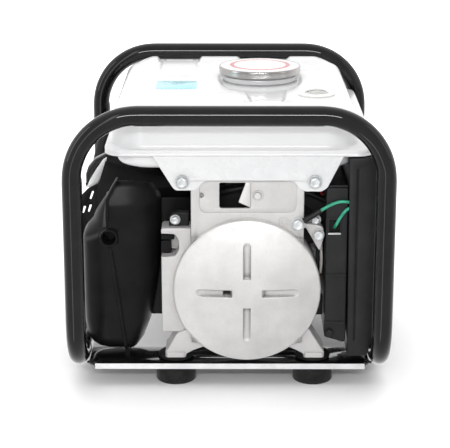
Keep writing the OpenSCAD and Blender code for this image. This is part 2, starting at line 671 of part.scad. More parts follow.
module cooling_shroud() color(black) on_cylinder() difference() {
    translate([-45, -46, 54]) cube([90, 81.6, 78]);
    translate([-42, -43, 40]) cube([84, 90, 89]);
    translate([-19, -60, 40]) cube([38, 30, 58]);
    translate([0, 0, 100]) cylinder(r = 16, h = 50, $fn = 48);
    for (z = [66 : 12 : 114]) translate([-60, -30, z]) cube([30, 60, 4]);
}

// ---- control side --------------------------------------------------------
box_x1 = 138.4;
module control_box() color(plastic) difference() {
    along_y(-150, -30) polygon([[114.6, 30], [133.6, 30], [136.6, 42], [box_x1, 46], [box_x1, 225],
        [136.6, 228.2], [112.8, 227]]);
    along_y(-147.6, -32.4) polygon([[117, 32.4], [131.8, 32.4], [134.2, 42], [136, 47], [136, 225],
        [115.2, 224.6]]);
    along_y(-151, -149.2) polygon([[120.4, 46], [121.6, 46], [121.6, 216], [120.4, 216]]);
}
module control_box_rear() color(plastic) difference() {
    union() {
        along_y(-146, -36) polygon([[92.4, 48], [112, 42], [112.6, 46], [112.2, 186], [92.4, 197],
            [91.4, 190]]);
        ycyl(4, -150, -146, 96.8, 53, 32);
    }
    along_y(-143.6, -38.4) polygon([[94.6, 50], [109.8, 45.6], [110, 184], [94.6, 193]]);
    along_y(-150, -140) polygon([[95.4, 153.6], [105, 153.6], [105, 166.2], [95.4, 166.2]]);
}
meter_z = 196;
meter_y = -112;
module panel_fittings() color(black) difference() {
    union() {
        // meter case
        xcyl(22, 138.6, 143, meter_y, meter_z);
        // outlet base with its hinge posts
        along_x(138.6, 145) rect2(-84, -40, 166, 214, 6);
        // breaker base
        xcyl(9, 138.6, 144, -112, 152);
        // switch frame
        along_x(138.6, 143) rect2(-124, -100, 96, 130, 2);
        // direct current terminals
        for (y = [-74, -50]) {
            xcyl(7, 138.6, 141, y, 120, 48);
            xcyl(4.6, 141, 151, y, 120, 48);
        }
        // earth stud with wing nut
        xcyl(3, 138.6, 152, -62, 70, 32);
        xcyl(6, 141, 147, -62, 70, 32);
        along_x(143, 146) rect2(-73, -51, 66, 74, 3);
        // hinge ears and pin of the outlet lid
        for (y = [-81, -47.4]) box(138.6, 150, y, y + 4.4, 212.4, 216.6);
        ycyl(1.4, -78, -46, 148, 213.8, 32);
    }
    xcyl(19.4, 140.6, 150, meter_y, meter_z);
    for (y = [-69, -57]) box(141, 150, y, y + 2, 188, 196);
    box(141, 150, -65, -60, 180, 183);
    xcyl(5.5, 140.2, 150, -112, 152);
    along_x(139.6, 150) rect2(-121.4, -102.6, 99.4, 126.6, 1);
}
module meter_glass() color([0.8, 0.88, 0.9, 0.35]) xcyl(20.6, 143.1, 144.3, meter_y, meter_z);
module meter_needle() color([0.8, 0.15, 0.08]) {
    xcyl(2, 140.8, 142.4, meter_y, meter_z - 9, 32);
    box(141.2, 142, meter_y - 15, meter_y, meter_z - 9.6, meter_z - 8.4);
}
module outlet_lid() color(plastic) difference() {
    union() {
        along_x(145.3, 148) rect2(-84, -40, 166, 211, 6);
        ycyl(2.6, -76, -48, 148, 213.8, 32);
        box(145.4, 148, -76, -48, 209, 213.8);
    }
    ycyl(1.4 + run, -90, -30, 148, 213.8, 32);
}
module switch_rocker() color(black) translate([142.6, 0, 113]) rotate([0, 8, 0])
    union() {
        along_y(-120.4, -103.6) polygon([[0, -11.6], [3.4, -12.4], [2, 0], [3.4, 12.4], [0, 11.6],
            [-2.2, 0]]);
        ycyl(2.6, -120.4, -103.6, 0, 0, 32);
    }
module breaker_button() color([0.75, 0.08, 0.06]) xcyl(5.4, 142.4, 147.4, -112, 152);
// a round rod from p to q
module rod(p, q, r) {
    d = q - p;
    translate(p) rotate([0, acos(d[2] / norm(d)), atan2(d[1], d[0])])
        cylinder(r = r, h = norm(d), $fn = 32);
}
wire = [[84.4, -148.4, 175.4], [100.4, -148.4, 183.3], [109.4, -148.4, 183.8],
    [109.6, -148.4, 179.6], [100.6, -148.4, 163], [100.2, -140, 159.4]];
module earth_wire() color([0.45, 0.65, 0.1]) {
    rod([71.8, -151, 168], wire[0], 2.5);
    translate(wire[0]) sphere(r = 2.55, $fn = 32);
    for (i = [0 : 4]) rod(wire[i], wire[i + 1], 1.6);
    for (i = [1 : 4]) translate(wire[i]) sphere(r = 1.65, $fn = 32);
}

near_hoop();
far_hoop();
side_rails();
cross_plates();
rubber_mounts();
mount_bolts();
tank_upper_shell();
tank_lower_shell();
tank_brackets();
bracket_bolts();
filler_neck();
cap_gasket();
fuel_cap();
fuel_gauge();
end_bracket();
end_cover();
side_box();
stator_shell();
stator_core();
stator_winding();
rotor();
bearings();
crankcase();
barrel();
cylinder_head();
spark_plug();
plug_cap();
piston();
connecting_rod();
crankshaft();
cooling_fan();
fan_housing();
rear_bracket();
recoil_cover();
recoil_reel();
recoil_spring();
starter_grip();
starter_rope();
ignition_coil();
carburettor();
choke_lever();
air_case();
air_filter();
air_cover();
fuel_cock();
cock_lever();
fuel_hose();
muffler_left();
muffler_right();
muffler_guard();
cooling_shroud();
control_box();
control_box_rear();
panel_fittings();
meter_glass();
meter_needle();
outlet_lid();
switch_rocker();
breaker_button();
earth_wire();
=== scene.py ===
"""Portable generator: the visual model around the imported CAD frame."""

import json
import math

import bmesh
import bpy
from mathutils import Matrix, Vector, noise
from mathutils.geometry import tessellate_polygon
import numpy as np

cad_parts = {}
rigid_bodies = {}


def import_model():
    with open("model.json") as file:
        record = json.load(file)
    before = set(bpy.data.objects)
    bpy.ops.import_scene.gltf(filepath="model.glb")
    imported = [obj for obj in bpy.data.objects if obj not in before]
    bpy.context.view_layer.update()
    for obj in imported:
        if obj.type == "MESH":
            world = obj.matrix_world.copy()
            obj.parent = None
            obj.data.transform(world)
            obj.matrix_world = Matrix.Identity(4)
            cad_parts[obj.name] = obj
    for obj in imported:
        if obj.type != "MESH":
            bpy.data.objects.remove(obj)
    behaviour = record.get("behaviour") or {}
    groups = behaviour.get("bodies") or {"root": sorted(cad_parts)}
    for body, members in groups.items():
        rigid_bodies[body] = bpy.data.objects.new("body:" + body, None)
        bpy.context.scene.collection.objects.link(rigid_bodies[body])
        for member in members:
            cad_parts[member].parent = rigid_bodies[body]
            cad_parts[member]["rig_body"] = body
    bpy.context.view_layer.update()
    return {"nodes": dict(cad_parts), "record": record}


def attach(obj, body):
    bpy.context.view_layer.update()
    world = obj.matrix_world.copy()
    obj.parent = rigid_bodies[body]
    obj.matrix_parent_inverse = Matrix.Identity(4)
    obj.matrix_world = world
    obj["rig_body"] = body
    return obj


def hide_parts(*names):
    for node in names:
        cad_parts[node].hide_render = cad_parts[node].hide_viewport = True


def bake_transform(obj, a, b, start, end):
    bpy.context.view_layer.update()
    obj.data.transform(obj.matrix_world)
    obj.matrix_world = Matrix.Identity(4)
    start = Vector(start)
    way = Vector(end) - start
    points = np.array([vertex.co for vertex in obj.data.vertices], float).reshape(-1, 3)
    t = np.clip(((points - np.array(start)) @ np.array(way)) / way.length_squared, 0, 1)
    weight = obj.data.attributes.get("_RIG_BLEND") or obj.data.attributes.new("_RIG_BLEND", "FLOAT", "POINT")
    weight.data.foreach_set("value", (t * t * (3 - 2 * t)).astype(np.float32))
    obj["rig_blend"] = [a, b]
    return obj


MM = 0.001
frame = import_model()
NODES = frame["nodes"]


# ---------------------------------------------------------------- materials
class Net:
    """A material's node tree, with short calls for the nodes that repeat."""

    def __init__(self, name):
        self.mat = bpy.data.materials.new(name)
        self.mat.use_nodes = True
        self.tree = self.mat.node_tree
        self.tree.nodes.clear()
        self.out = self.add("ShaderNodeOutputMaterial")
        self.bsdf = self.add("ShaderNodeBsdfPrincipled")
        self.link(self.bsdf.outputs["BSDF"], self.out.inputs["Surface"])
        self.coord = self.add("ShaderNodeTexCoord").outputs["Object"]

    def add(self, kind, **values):
        node = self.tree.nodes.new(kind)
        for key, value in values.items():
            setattr(node, key, value)
        return node

    def link(self, a, b):
        self.tree.links.new(a, b)

    def put(self, **values):
        for key, value in values.items():
            self.bsdf.inputs[key.replace("_", " ")].default_value = value

    def noise(self, scale, detail=3.0, roughness=0.55, stretch=(1, 1, 1)):
        where = self.coord
        if stretch != (1, 1, 1):
            mapping = self.add("ShaderNodeMapping")
            mapping.inputs["Scale"].default_value = stretch
            self.link(self.coord, mapping.inputs["Vector"])
            where = mapping.outputs["Vector"]
        node = self.add("ShaderNodeTexNoise")
        node.inputs["Scale"].default_value = scale
        node.inputs["Detail"].default_value = detail
        node.inputs["Roughness"].default_value = roughness
        self.link(where, node.inputs["Vector"])
        return node.outputs["Fac"]

    def cells(self, scale, feature="F1"):
        node = self.add("ShaderNodeTexVoronoi", feature=feature)
        node.inputs["Scale"].default_value = scale
        self.link(self.coord, node.inputs["Vector"])
        return node.outputs["Distance"]

    def span(self, value, low, high, to_low=0.0, to_high=1.0):
        node = self.add("ShaderNodeMapRange")
        node.clamp = True
        for key, number in (("From Min", low), ("From Max", high), ("To Min", to_low), ("To Max", to_high)):
            node.inputs[key].default_value = number
        self.link(value, node.inputs["Value"])
        return node.outputs["Result"]

    def math(self, operation, a, b):
        node = self.add("ShaderNodeMath", operation=operation)
        for socket, value in ((node.inputs[0], a), (node.inputs[1], b)):
            if isinstance(value, (int, float)):
                socket.default_value = value
            else:
                self.link(value, socket)
        return node.outputs[0]

    def mix(self, factor, a, b, mode="MIX"):
        node = self.add("ShaderNodeMix", data_type="RGBA", blend_type=mode)
        for socket, value in ((node.inputs["Factor"], factor), (node.inputs[6], a), (node.inputs[7], b)):
            if isinstance(value, (int, float)):
                socket.default_value = value
            elif isinstance(value, tuple):
                socket.default_value = (*value, 1.0)
            else:
                self.link(value, socket)
        return node.outputs[2]

    def rounded(self, radius):
        """The normal with edges rounded at render time."""
        node = self.add("ShaderNodeBevel", samples=4)
        node.inputs["Radius"].default_value = radius
        return node.outputs["Normal"]

    def bump(self, height, distance, strength=1.0, after=None):
        node = self.add("ShaderNodeBump")
        node.inputs["Distance"].default_value = distance
        node.inputs["Strength"].default_value = strength
        self.link(height, node.inputs["Height"])
        if after is not None:
            self.link(after, node.inputs["Normal"])
        return node.outputs["Normal"]

    def edge_mask(self, radius, low=0.02, high=0.25):
        """1 where an edge turns away within the radius, 0 on open faces."""
        bent = self.add("ShaderNodeBevel", samples=6)
        bent.inputs["Radius"].default_value = radius
        plain = self.add("ShaderNodeNewGeometry")
        dot = self.add("ShaderNodeVectorMath", operation="DOT_PRODUCT")
        self.link(bent.outputs["Normal"], dot.inputs[0])
        self.link(plain.outputs["Normal"], dot.inputs[1])
        return self.span(dot.outputs["Value"], 1 - high, 1 - low, 1.0, 0.0)

    def corners(self, distance, most):
        """Painted shade in corners and grooves, read from occlusion: up to most in the deepest ones."""
        node = self.add("ShaderNodeAmbientOcclusion", samples=6, only_local=True)
        node.inputs["Distance"].default_value = distance
        return self.span(node.outputs["AO"], 0.4, 0.95, most, 0.0)

    def colour(self, socket):
        self.link(socket, self.bsdf.inputs["Base Color"])

    def rough(self, socket):
        self.link(socket, self.bsdf.inputs["Roughness"])

    def normal(self, socket):
        self.link(socket, self.bsdf.inputs["Normal"])

    def tones(self, scale, detail, low, high, dark, light):
        """A colour that drifts between two."""
        self.colour(self.mix(self.span(self.noise(scale, detail), low, high), dark, light))

    def gloss(self, scale, detail, low, high):
        """A roughness that drifts between two."""
        self.rough(self.span(self.noise(scale, detail), 0.3, 0.7, low, high))

    def grain(self, scale, detail, distance, strength):
        self.normal(self.bump(self.noise(scale, detail), distance, strength))


def painted_black():
    n = Net("frame_black")
    n.put(Metallic=0.0, Coat_Weight=0.85, Coat_Roughness=0.03, Specular_IOR_Level=0.03)
    n.colour(n.mix(n.span(n.noise(60), 0.35, 0.7), (0.004, 0.004, 0.0045), (0.007, 0.007, 0.0075)))
    n.gloss(35, 5, 0.26, 0.38)
    peel = n.bump(n.noise(420, 2), 0.00004, 0.8, n.rounded(0.0008))
    n.normal(n.bump(n.noise(30, 1), 0.0003, 0.35, peel))
    return n.mat


def moulded(name, dark, light, rough=(0.42, 0.6), grain=0.00005, grain_scale=1400, dust=0.0, shine=0.5):
    n = Net(name)
    n.put(Specular_IOR_Level=shine)
    base = n.mix(n.span(n.noise(45, 4), 0.3, 0.7), dark, light)
    if dust:
        layer = n.math("MULTIPLY", n.span(n.noise(90, 6), 0.5, 0.75), dust)
        base = n.mix(layer, base, (0.2, 0.19, 0.17))
    n.colour(base)
    n.gloss(70, 5, *rough)
    leather = n.bump(n.cells(grain_scale), grain, 0.5, n.rounded(0.0006))
    n.normal(n.bump(n.noise(25, 2), 0.0004, 0.15, leather))
    return n.mat


def cast_alloy(name="cast_alloy", dark=(0.56, 0.55, 0.545), light=(0.64, 0.63, 0.622), metallic=0.4):
    n = Net(name)
    n.put(Metallic=metallic, Specular_IOR_Level=0.5)
    tone = n.mix(n.span(n.noise(28, 5), 0.3, 0.7), dark, light)
    specks = n.span(n.noise(900, 3, 0.7), 0.58, 0.72)
    tone = n.mix(n.math("MULTIPLY", specks, 0.25), tone, (0.25, 0.245, 0.235))
    worn = n.math("MULTIPLY", n.edge_mask(0.0007), n.span(n.noise(200, 4), 0.35, 0.6))
    tone = n.mix(n.math("MULTIPLY", worn, 0.5), tone, (0.85, 0.845, 0.83))
    # colour darkened in corners and grooves by the occlusion node: painted shade
    n.colour(n.mix(n.corners(0.004, 0.85), tone, (0.12, 0.115, 0.11)))
    n.gloss(120, 6, 0.42, 0.6)
    sand = n.bump(n.noise(1500, 4, 0.65), 0.00009, 0.9, n.rounded(0.0009))
    n.normal(n.bump(n.noise(60, 3), 0.0005, 0.18, sand))
    return n.mat


def tank_paint():
    n = Net("tank_white")
    n.put(Coat_Weight=0.4, Coat_Roughness=0.05, Specular_IOR_Level=0.35)
    n.tones(9, 3, 0.3, 0.7, (0.61, 0.615, 0.62), (0.645, 0.65, 0.65))
    n.gloss(40, 4, 0.14, 0.24)
    peel = n.bump(n.noise(260, 2), 0.00005, 0.6)
    n.normal(n.bump(n.noise(14, 2), 0.0006, 0.2, peel))
    return n.mat


def rubber():
    n = Net("mount_rubber")
    base = n.mix(n.span(n.noise(60, 5), 0.35, 0.7), (0.006, 0.006, 0.006), (0.013, 0.0125, 0.012))
    dust = n.math("MULTIPLY", n.span(n.noise(150, 6, 0.7), 0.5, 0.75), 0.12)
    n.colour(n.mix(dust, base, (0.13, 0.125, 0.115)))
    n.put(Specular_IOR_Level=0.3)
    n.gloss(80, 5, 0.6, 0.85)
    n.normal(n.bump(n.noise(900, 4), 0.00015, 0.6, n.rounded(0.0008)))
    return n.mat


def steel(name, tone=(0.62, 0.62, 0.61), rough=(0.22, 0.4), brushed=(1, 1, 1), grain=700, metallic=1.0):
    n = Net(name)
    n.put(Metallic=metallic)
    shade = tuple(c * 0.8 for c in tone)
    metal = n.mix(n.span(n.noise(50, 4), 0.3, 0.7), shade, tone)
    # colour darkened in corners and creases by the occlusion node: painted shade
    n.colour(n.mix(n.corners(0.003, 0.8), metal, (0.1, 0.1, 0.1)))
    n.rough(n.span(n.noise(grain, 4, stretch=brushed), 0.3, 0.7, *rough))
    n.normal(n.bump(n.noise(grain, 3, stretch=brushed), 0.00002, 0.35))
    return n.mat


def exhaust_paint():
    n = Net("exhaust_black")
    n.put(Specular_IOR_Level=0.16)
    n.tones(40, 5, 0.3, 0.7, (0.006, 0.006, 0.006), (0.011, 0.0105, 0.0105))
    n.gloss(55, 5, 0.3, 0.42)
    fine = n.bump(n.noise(1100, 3), 0.00005, 0.6, n.rounded(0.0008))
    n.normal(n.bump(n.noise(38, 2), 0.0009, 0.35, fine))
    return n.mat


def wire_coat():
    n = Net("earth_green")
    n.put(Coat_Weight=0.2, Coat_Roughness=0.25)
    n.tones(120, 3, 0.4, 0.6, (0.015, 0.26, 0.15), (0.025, 0.34, 0.21))
    n.gloss(200, 3, 0.3, 0.45)
    n.grain(700, 2, 0.00005, 0.5)
    return n.mat


def copper():
    n = Net("copper_wire")
    n.put(Metallic=0.55)
    n.tones(260, 4, 0.35, 0.65, (0.33, 0.2, 0.11), (0.62, 0.44, 0.28))
    n.gloss(300, 3, 0.3, 0.5)
    n.grain(900, 3, 0.0002, 0.6)
    return n.mat


def cord_weave():
    n = Net("starter_cord")
    wave = n.add("ShaderNodeTexWave", wave_type="BANDS", bands_direction="DIAGONAL")
    wave.inputs["Scale"].default_value = 210
    wave.inputs["Distortion"].default_value = 1.5
    n.link(n.coord, wave.inputs["Vector"])
    n.put(Sheen_Weight=0.3)
    n.colour(n.mix(wave.outputs["Fac"], (0.05, 0.05, 0.055), (0.62, 0.6, 0.55)))
    n.gloss(400, 3, 0.6, 0.8)
    n.normal(n.bump(wave.outputs["Fac"], 0.0004, 0.6))
    return n.mat


def foam():
    n = Net("filter_foam")
    n.tones(90, 4, 0.3, 0.7, (0.03, 0.03, 0.028), (0.07, 0.068, 0.062))
    n.gloss(90, 4, 0.8, 0.95)
    n.normal(n.bump(n.cells(700), 0.0008, 0.9))
    return n.mat


def glass():
    n = Net("clear_lens")
    n.put(Transmission_Weight=0.95, IOR=1.49, Alpha=1.0)
    n.tones(30, 2, 0.3, 0.7, (0.93, 0.95, 0.95), (0.98, 0.99, 0.99))
    n.rough(n.span(n.noise(120, 4), 0.4, 0.7, 0.03, 0.09))
    n.grain(60, 1, 0.0001, 0.2)
    return n.mat


MATERIALS = {
    "frame_black": painted_black(),
    "mount_rubber": rubber(),
    "zinc_steel": steel("zinc_steel", (0.74, 0.76, 0.77), (0.26, 0.34), metallic=0.45),
    "tank_white": tank_paint(),
    "cap_chrome": steel("cap_chrome", (0.56, 0.545, 0.535), (0.16, 0.28), (2, 2, 0.4), 240),
    "black_plastic": moulded("black_plastic", (0.012, 0.012, 0.0125), (0.018, 0.018, 0.019), shine=0.28),
    "cast_alloy": cast_alloy(),
    "shell_black": moulded("shell_black", (0.009, 0.009, 0.009), (0.016, 0.016, 0.016), (0.38, 0.55),
        shine=0.28),
    "machined_steel": steel("machined_steel", (0.55, 0.55, 0.55), (0.2, 0.4), (1, 14, 1), 300),
    "copper_wire": copper(),
    "plug_white": moulded("plug_white", (0.7, 0.69, 0.66), (0.78, 0.77, 0.74), (0.2, 0.35), 0.00002),
    "starter_cord": cord_weave(),
    "filter_foam": foam(),
    "exhaust_black": exhaust_paint(),
    "clear_lens": glass(),
    "signal_red": moulded("signal_red", (0.42, 0.015, 0.012), (0.5, 0.022, 0.016), (0.3, 0.45), 0.00003),
    "earth_green": wire_coat(),
    "cover_alloy": cast_alloy("cover_alloy", (0.66, 0.65, 0.64), (0.80, 0.79, 0.78), 0.7),
    "guard_gloss": moulded("guard_gloss", (0.005, 0.005, 0.005), (0.008, 0.008, 0.008), (0.14, 0.26), 0.00001,
        900, shine=0.4),
    "bracket_white": moulded("bracket_white", (0.60, 0.605, 0.61), (0.65, 0.655, 0.655), (0.22, 0.34), 0.00002,
        900),
    # bright zinc on the shield's stay; on the plate lips this brightness is a painted reflection of the white
    # surroundings
    "zinc_and_painted_reflection": steel("zinc_and_painted_reflection", (0.92, 0.92, 0.93), (0.3, 0.45), (0.2, 1, 1), 400, 0.3),
}


def dress(obj, name):
    """Gives an object one of the materials above."""
    mat = MATERIALS[name]
    if not obj.data.materials:
        obj.data.materials.append(mat)
    for place in obj.material_slots:
        place.material = mat
    return obj


def repaint(obj, mat):
    """Gives an object a material of its own."""
    obj.data.materials.clear()
    obj.data.materials.append(mat)


for entry in frame["record"]["subparts"]:
    dress(NODES[entry["node"]], entry["material_slot"])


# ---------------------------------------------------------------- mesh helpers
def raw(name, points, faces):
    """A linked mesh object from points in millimetres."""
    mesh = bpy.data.meshes.new(name)
    mesh.from_pydata([tuple(c * MM for c in p) for p in points], [], faces)
    obj = bpy.data.objects.new(name, mesh)
    bpy.context.collection.objects.link(obj)
    return obj


def piece(name, points, faces, material, body="chassis", replaces=(), sharp=35.0):
    """A mesh object from points in millimetres, shaded smooth up to the sharp angle, riding on a body."""
    obj = raw(name, points, faces)
    tidy(obj, sharp)
    return settle(obj, material, body, replaces)


def tidy(obj, sharp):
    """Joins doubled points, turns faces outwards and marks the edges over the sharp angle."""
    bm = bmesh.new()
    bm.from_mesh(obj.data)
    bmesh.ops.remove_doubles(bm, verts=bm.verts, dist=0.004 * MM)
    bmesh.ops.recalc_face_normals(bm, faces=bm.faces)
    for face in bm.faces:
        face.smooth = True
    for edge in bm.edges:
        edge.smooth = len(edge.link_faces) != 2 or edge.calc_face_angle(0) < math.radians(sharp)
    bm.to_mesh(obj.data)
    bm.free()


def settle(obj, material, body, replaces=()):
    dress(obj, material)
    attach(obj, body)
    if replaces:
        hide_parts(*replaces)
    return obj


SLOT_OF = {entry["node"]: entry["material_slot"] for entry in frame["record"]["subparts"]}


BEVEL_FROM, SHARP_FROM = 30.0, 40.0  # degrees between two faces of a CAD node


def softened(node, width):
    """A copy of a CAD node with its flat faces joined and its edges rounded, in its place."""
    mesh = NODES[node].data.copy()
    mesh.name = node + "_soft"
    for layer in [a.name for a in mesh.attributes if a.name in ("custom_normal", "sharp_face", "sharp_edge")]:
        mesh.attributes.remove(mesh.attributes[layer])
    bm = bmesh.new()
    bm.from_mesh(mesh)
    bmesh.ops.remove_doubles(bm, verts=bm.verts, dist=0.01 * MM)
    bmesh.ops.dissolve_limit(bm, angle_limit=math.radians(0.8), verts=bm.verts, edges=bm.edges)
    edges = [
        e
        for e in bm.edges
        if len(e.link_faces) == 2 and e.calc_face_angle(0) > math.radians(BEVEL_FROM)
    ]
    bmesh.ops.bevel(bm, geom=edges, offset=width * MM, segments=2, profile=0.5, affect="EDGES",
        clamp_overlap=False)
    for face in bm.faces:
        face.smooth = True
    for edge in bm.edges:
        edge.smooth = len(edge.link_faces) != 2 or edge.calc_face_angle(0) < math.radians(SHARP_FROM)
    bm.to_mesh(mesh)
    bm.free()
    obj = bpy.data.objects.new(node + "_soft", mesh)
    bpy.context.collection.objects.link(obj)
    return settle(obj, SLOT_OF[node], NODES[node]["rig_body"], [node])


def frames(path, up):
    """Tangent and two cross directions at each point of a path, carried along without twisting."""
    points = [Vector(p) for p in path]
    side = Vector(up)
    made = []
    for i, point in enumerate(points):
        ahead = points[min(i + 1, len(points) - 1)] - points[max(i - 1, 0)]
        ahead.normalize()
        side = side - ahead * side.dot(ahead)
        side.normalize()
        made.append((point, ahead, side, ahead.cross(side)))
    return made


def lofted(points, n, closed=False, first=True, last=True):
    """Points in rings of n and the faces between them. Ends are capped, or the rings close up."""
    count = len(points) // n
    faces = []
    for i in range(count if closed else count - 1):
        j = (i + 1) % count
        for k in range(n):
            m = (k + 1) % n
            faces.append((i * n + k, i * n + m, j * n + m, j * n + k))
    if first and not closed:
        faces.append(tuple(range(n)))
    if last and not closed:
        faces.append(tuple((count - 1) * n + k for k in range(n)))
    return points, faces


def tube(path, radius, sides, up=(0, 0, 1)):
    """Points and faces of a round tube; radius is a number or a function of (place, side angle)."""
    points = []
    rings = frames(path, up)
    for i, (point, _, a, b) in enumerate(rings):
        for k in range(sides):
            turn = 2 * math.pi * k / sides
            r = radius(i, turn) if callable(radius) else radius
            points.append(point + (a * math.cos(turn) + b * math.sin(turn)) * r)
    return lofted(points, sides)


def turned(profile, steps, centre, axis="z"):
    """Points and faces of a profile of (radius, height) turned about a z or y axis through centre."""
    points, faces = [], []
    cx, cy, cz = centre
    for i in range(steps):
        turn = math.radians(360.0 * i / steps)
        c, s = math.cos(turn), math.sin(turn)
        for r, h in profile:
            if axis == "z":
                points.append((cx + r * c, cy + r * s, cz + h))
            else:
                points.append((cx + r * c, cy + h, cz + r * s))
    n = len(profile)
    for i in range(steps):
        j = (i + 1) % steps
        for k in range(n - 1):
            faces.append((i * n + k, j * n + k, j * n + k + 1, i * n + k + 1))
    return points, faces


def stitch(faces, last, base):
    """Faces from a loop to the loop of as many points that starts at base. Gives the new loop."""
    ring = list(range(base, base + len(last)))
    for k in range(len(last)):
        m = (k + 1) % len(last)
        faces.append((last[k], ring[k], ring[m], last[m]))
    return ring


def joined(*parts):
    """One list of points and faces from several."""
    points, faces = [], []
    for some_points, some_faces in parts:
        base = len(points)
        points += list(some_points)
        faces += [tuple(base + k for k in f) for f in some_faces]
    return points, faces


def smooth_step(value, low, high):
    t = min(1.0, max(0.0, (value - low) / (high - low)))
    return t * t * (3 - 2 * t)


def between(value, table):
    """Linear reading of a table of (place, number)."""
    if value <= table[0][0]:
        return table[0][1]
    for (a, fa), (b, fb) in zip(table, table[1:]):
        if value <= b:
            return fa + (fb - fa) * (value - a) / (b - a)
    return table[-1][1]


def cut_round(path, rounds):
    """The path with its corners cut off again and again."""
    points = [Vector(p) for p in path]
    for _ in range(rounds):
        finer = [points[0]]
        for a, b in zip(points, points[1:]):
            finer += [a.lerp(b, 0.25), a.lerp(b, 0.75)]
        points = finer + [points[-1]]
    return points


def curve_tube(name, path, radius, sides, material, replaces=(), rounds=3):
    """A smooth bent wire or cord through the points."""
    points = cut_round(path, rounds)
    return piece(name, *tube(points, radius, sides, up=(0.3, 1, 0.2)), material, replaces=replaces)


# ---------------------------------------------------------------- frame tubes
TUBE_R, LEG_X, HOOP_Y, TOP_Z, RAIL_Z, CORNER_R, FOOT_R = 9.5, 145.5, 173.0, 272.5, 27.0, 60.0, 42.0
RAIL_START = HOOP_Y - FOOT_R - 11
HUB_X, HUB_Z = 17.0, 98.5  # the crankshaft's axis
ROPE_OUT, ROPE_LENGTH = 167.6, 163.0


def arc(centre, radius, a0, a1, steps, plane):
    made = []
    for i in range(steps + 1):
        t = math.radians(a0 + (a1 - a0) * i / steps)
        u, v = radius * math.cos(t), radius * math.sin(t)
        x, y, z = centre
        made.append((x + u, y, z + v) if plane == "xz" else (x, y + u, z + v))
    return made


def line(a, b, step):
    a, b = Vector(a), Vector(b)
    n = max(1, round((b - a).length / step))
    return [tuple(a.lerp(b, i / n)) for i in range(n + 1)]


def hoop(name, sign):
    """One bent tube: rail end, foot bend, leg, corner, top and down again. Bends are a little flattened."""
    half = LEG_X - CORNER_R
    path, bends = [], []

    def add(points):
        for p in points:
            if not path or (Vector(p) - Vector(path[-1])).length > 0.05:
                path.append(p)

    y0 = sign * HOOP_Y
    for side in (-1, 1):
        foot = arc((side * LEG_X, sign * (HOOP_Y - FOOT_R), RAIL_Z + FOOT_R), FOOT_R, 270,
            180 if sign < 0 else 360, 20, "yz")
        corner = arc((side * half, y0, TOP_Z - CORNER_R), CORNER_R, 180 if side < 0 else 0, 90, 26, "xz")
        run = line((side * LEG_X, sign * RAIL_START, RAIL_Z), foot[0], 4)
        leg = line(foot[-1], corner[0], 4)
        inward_foot = Vector((0, -sign, 1)).normalized()
        inward_corner = Vector((-side, 0, -1)).normalized()
        stretches = [(run, None), (foot, inward_foot), (leg, None), (corner, inward_corner)]
        if side > 0:
            stretches = [(list(reversed(s)), inner) for s, inner in reversed(stretches)]
            add(line(path[-1], stretches[0][0][0], 5))
        for points, inner in stretches:
            first = len(path)
            add(points)
            if inner is not None:
                bends.append((max(first - 1, 0), len(path) - 1, inner))
    length = [0.0]
    for a, b in zip(path, path[1:]):
        length.append(length[-1] + (Vector(b) - Vector(a)).length)
    rings = frames(path, (0.3, 0.2, 1))

    def radius(i, turn):
        _, _, a, b = rings[i]
        away = a * math.cos(turn) + b * math.sin(turn)
        r = TUBE_R
        for first, last, inner in bends:
            in_bend = smooth_step(length[i], length[first] - 4, length[first] + 6) * (
                1 - smooth_step(length[i], length[last] - 6, length[last] + 4)
            )
            facing = away.dot(inner)
            r -= in_bend * (0.32 * abs(facing) ** 2 + 0.08)
            for place, way in ((length[first], 1), (length[last], -1)):
                gap = (length[i] - place) * way
                r += 0.45 * math.exp(-((gap + 2.0) / 2.6) ** 2) * max(facing, 0) ** 2
                r -= 1.0 * math.exp(-((gap - 4.5) / 3.4) ** 2) * max(facing, 0) ** 2
                r -= 0.5 * math.exp(-((gap - 12.5) / 3.4) ** 2) * max(facing, 0)
        return r

    node = "near_hoop" if sign < 0 else "far_hoop"
    return piece(name, *tube(path, radius, 40, up=(0.3, 0.2, 1)), "frame_black", replaces=[node])


def weld_ring(name, centre, direction, r=9.75, lumps=30, seed=0.0, thick=1.3):
    """A weld bead of overlapping ripples round a tube."""
    centre, direction = Vector(centre), Vector(direction).normalized()
    side = direction.orthogonal().normalized()
    other = direction.cross(side)
    path = []
    for i in range(lumps * 4):
        t = 2 * math.pi * i / (lumps * 4)
        wob = 0.25 * noise.noise(Vector((seed, math.cos(t) * 3, math.sin(t) * 3)))
        path.append(centre + (side * math.cos(t) + other * math.sin(t)) * (r - 0.35) + direction * wob)
    points = []
    sides = 10
    for i, p in enumerate(path):
        out = (p - centre).normalized()
        ripple = 1 + 0.16 * math.cos(2 * math.pi * i / 4)
        for k in range(sides):
            t = 2 * math.pi * k / sides
            points.append(p + (out * math.cos(t) * 0.7 + direction * math.sin(t)) * thick * ripple)
    return piece(name, *lofted(points, sides, closed=True), "frame_black", sharp=60)


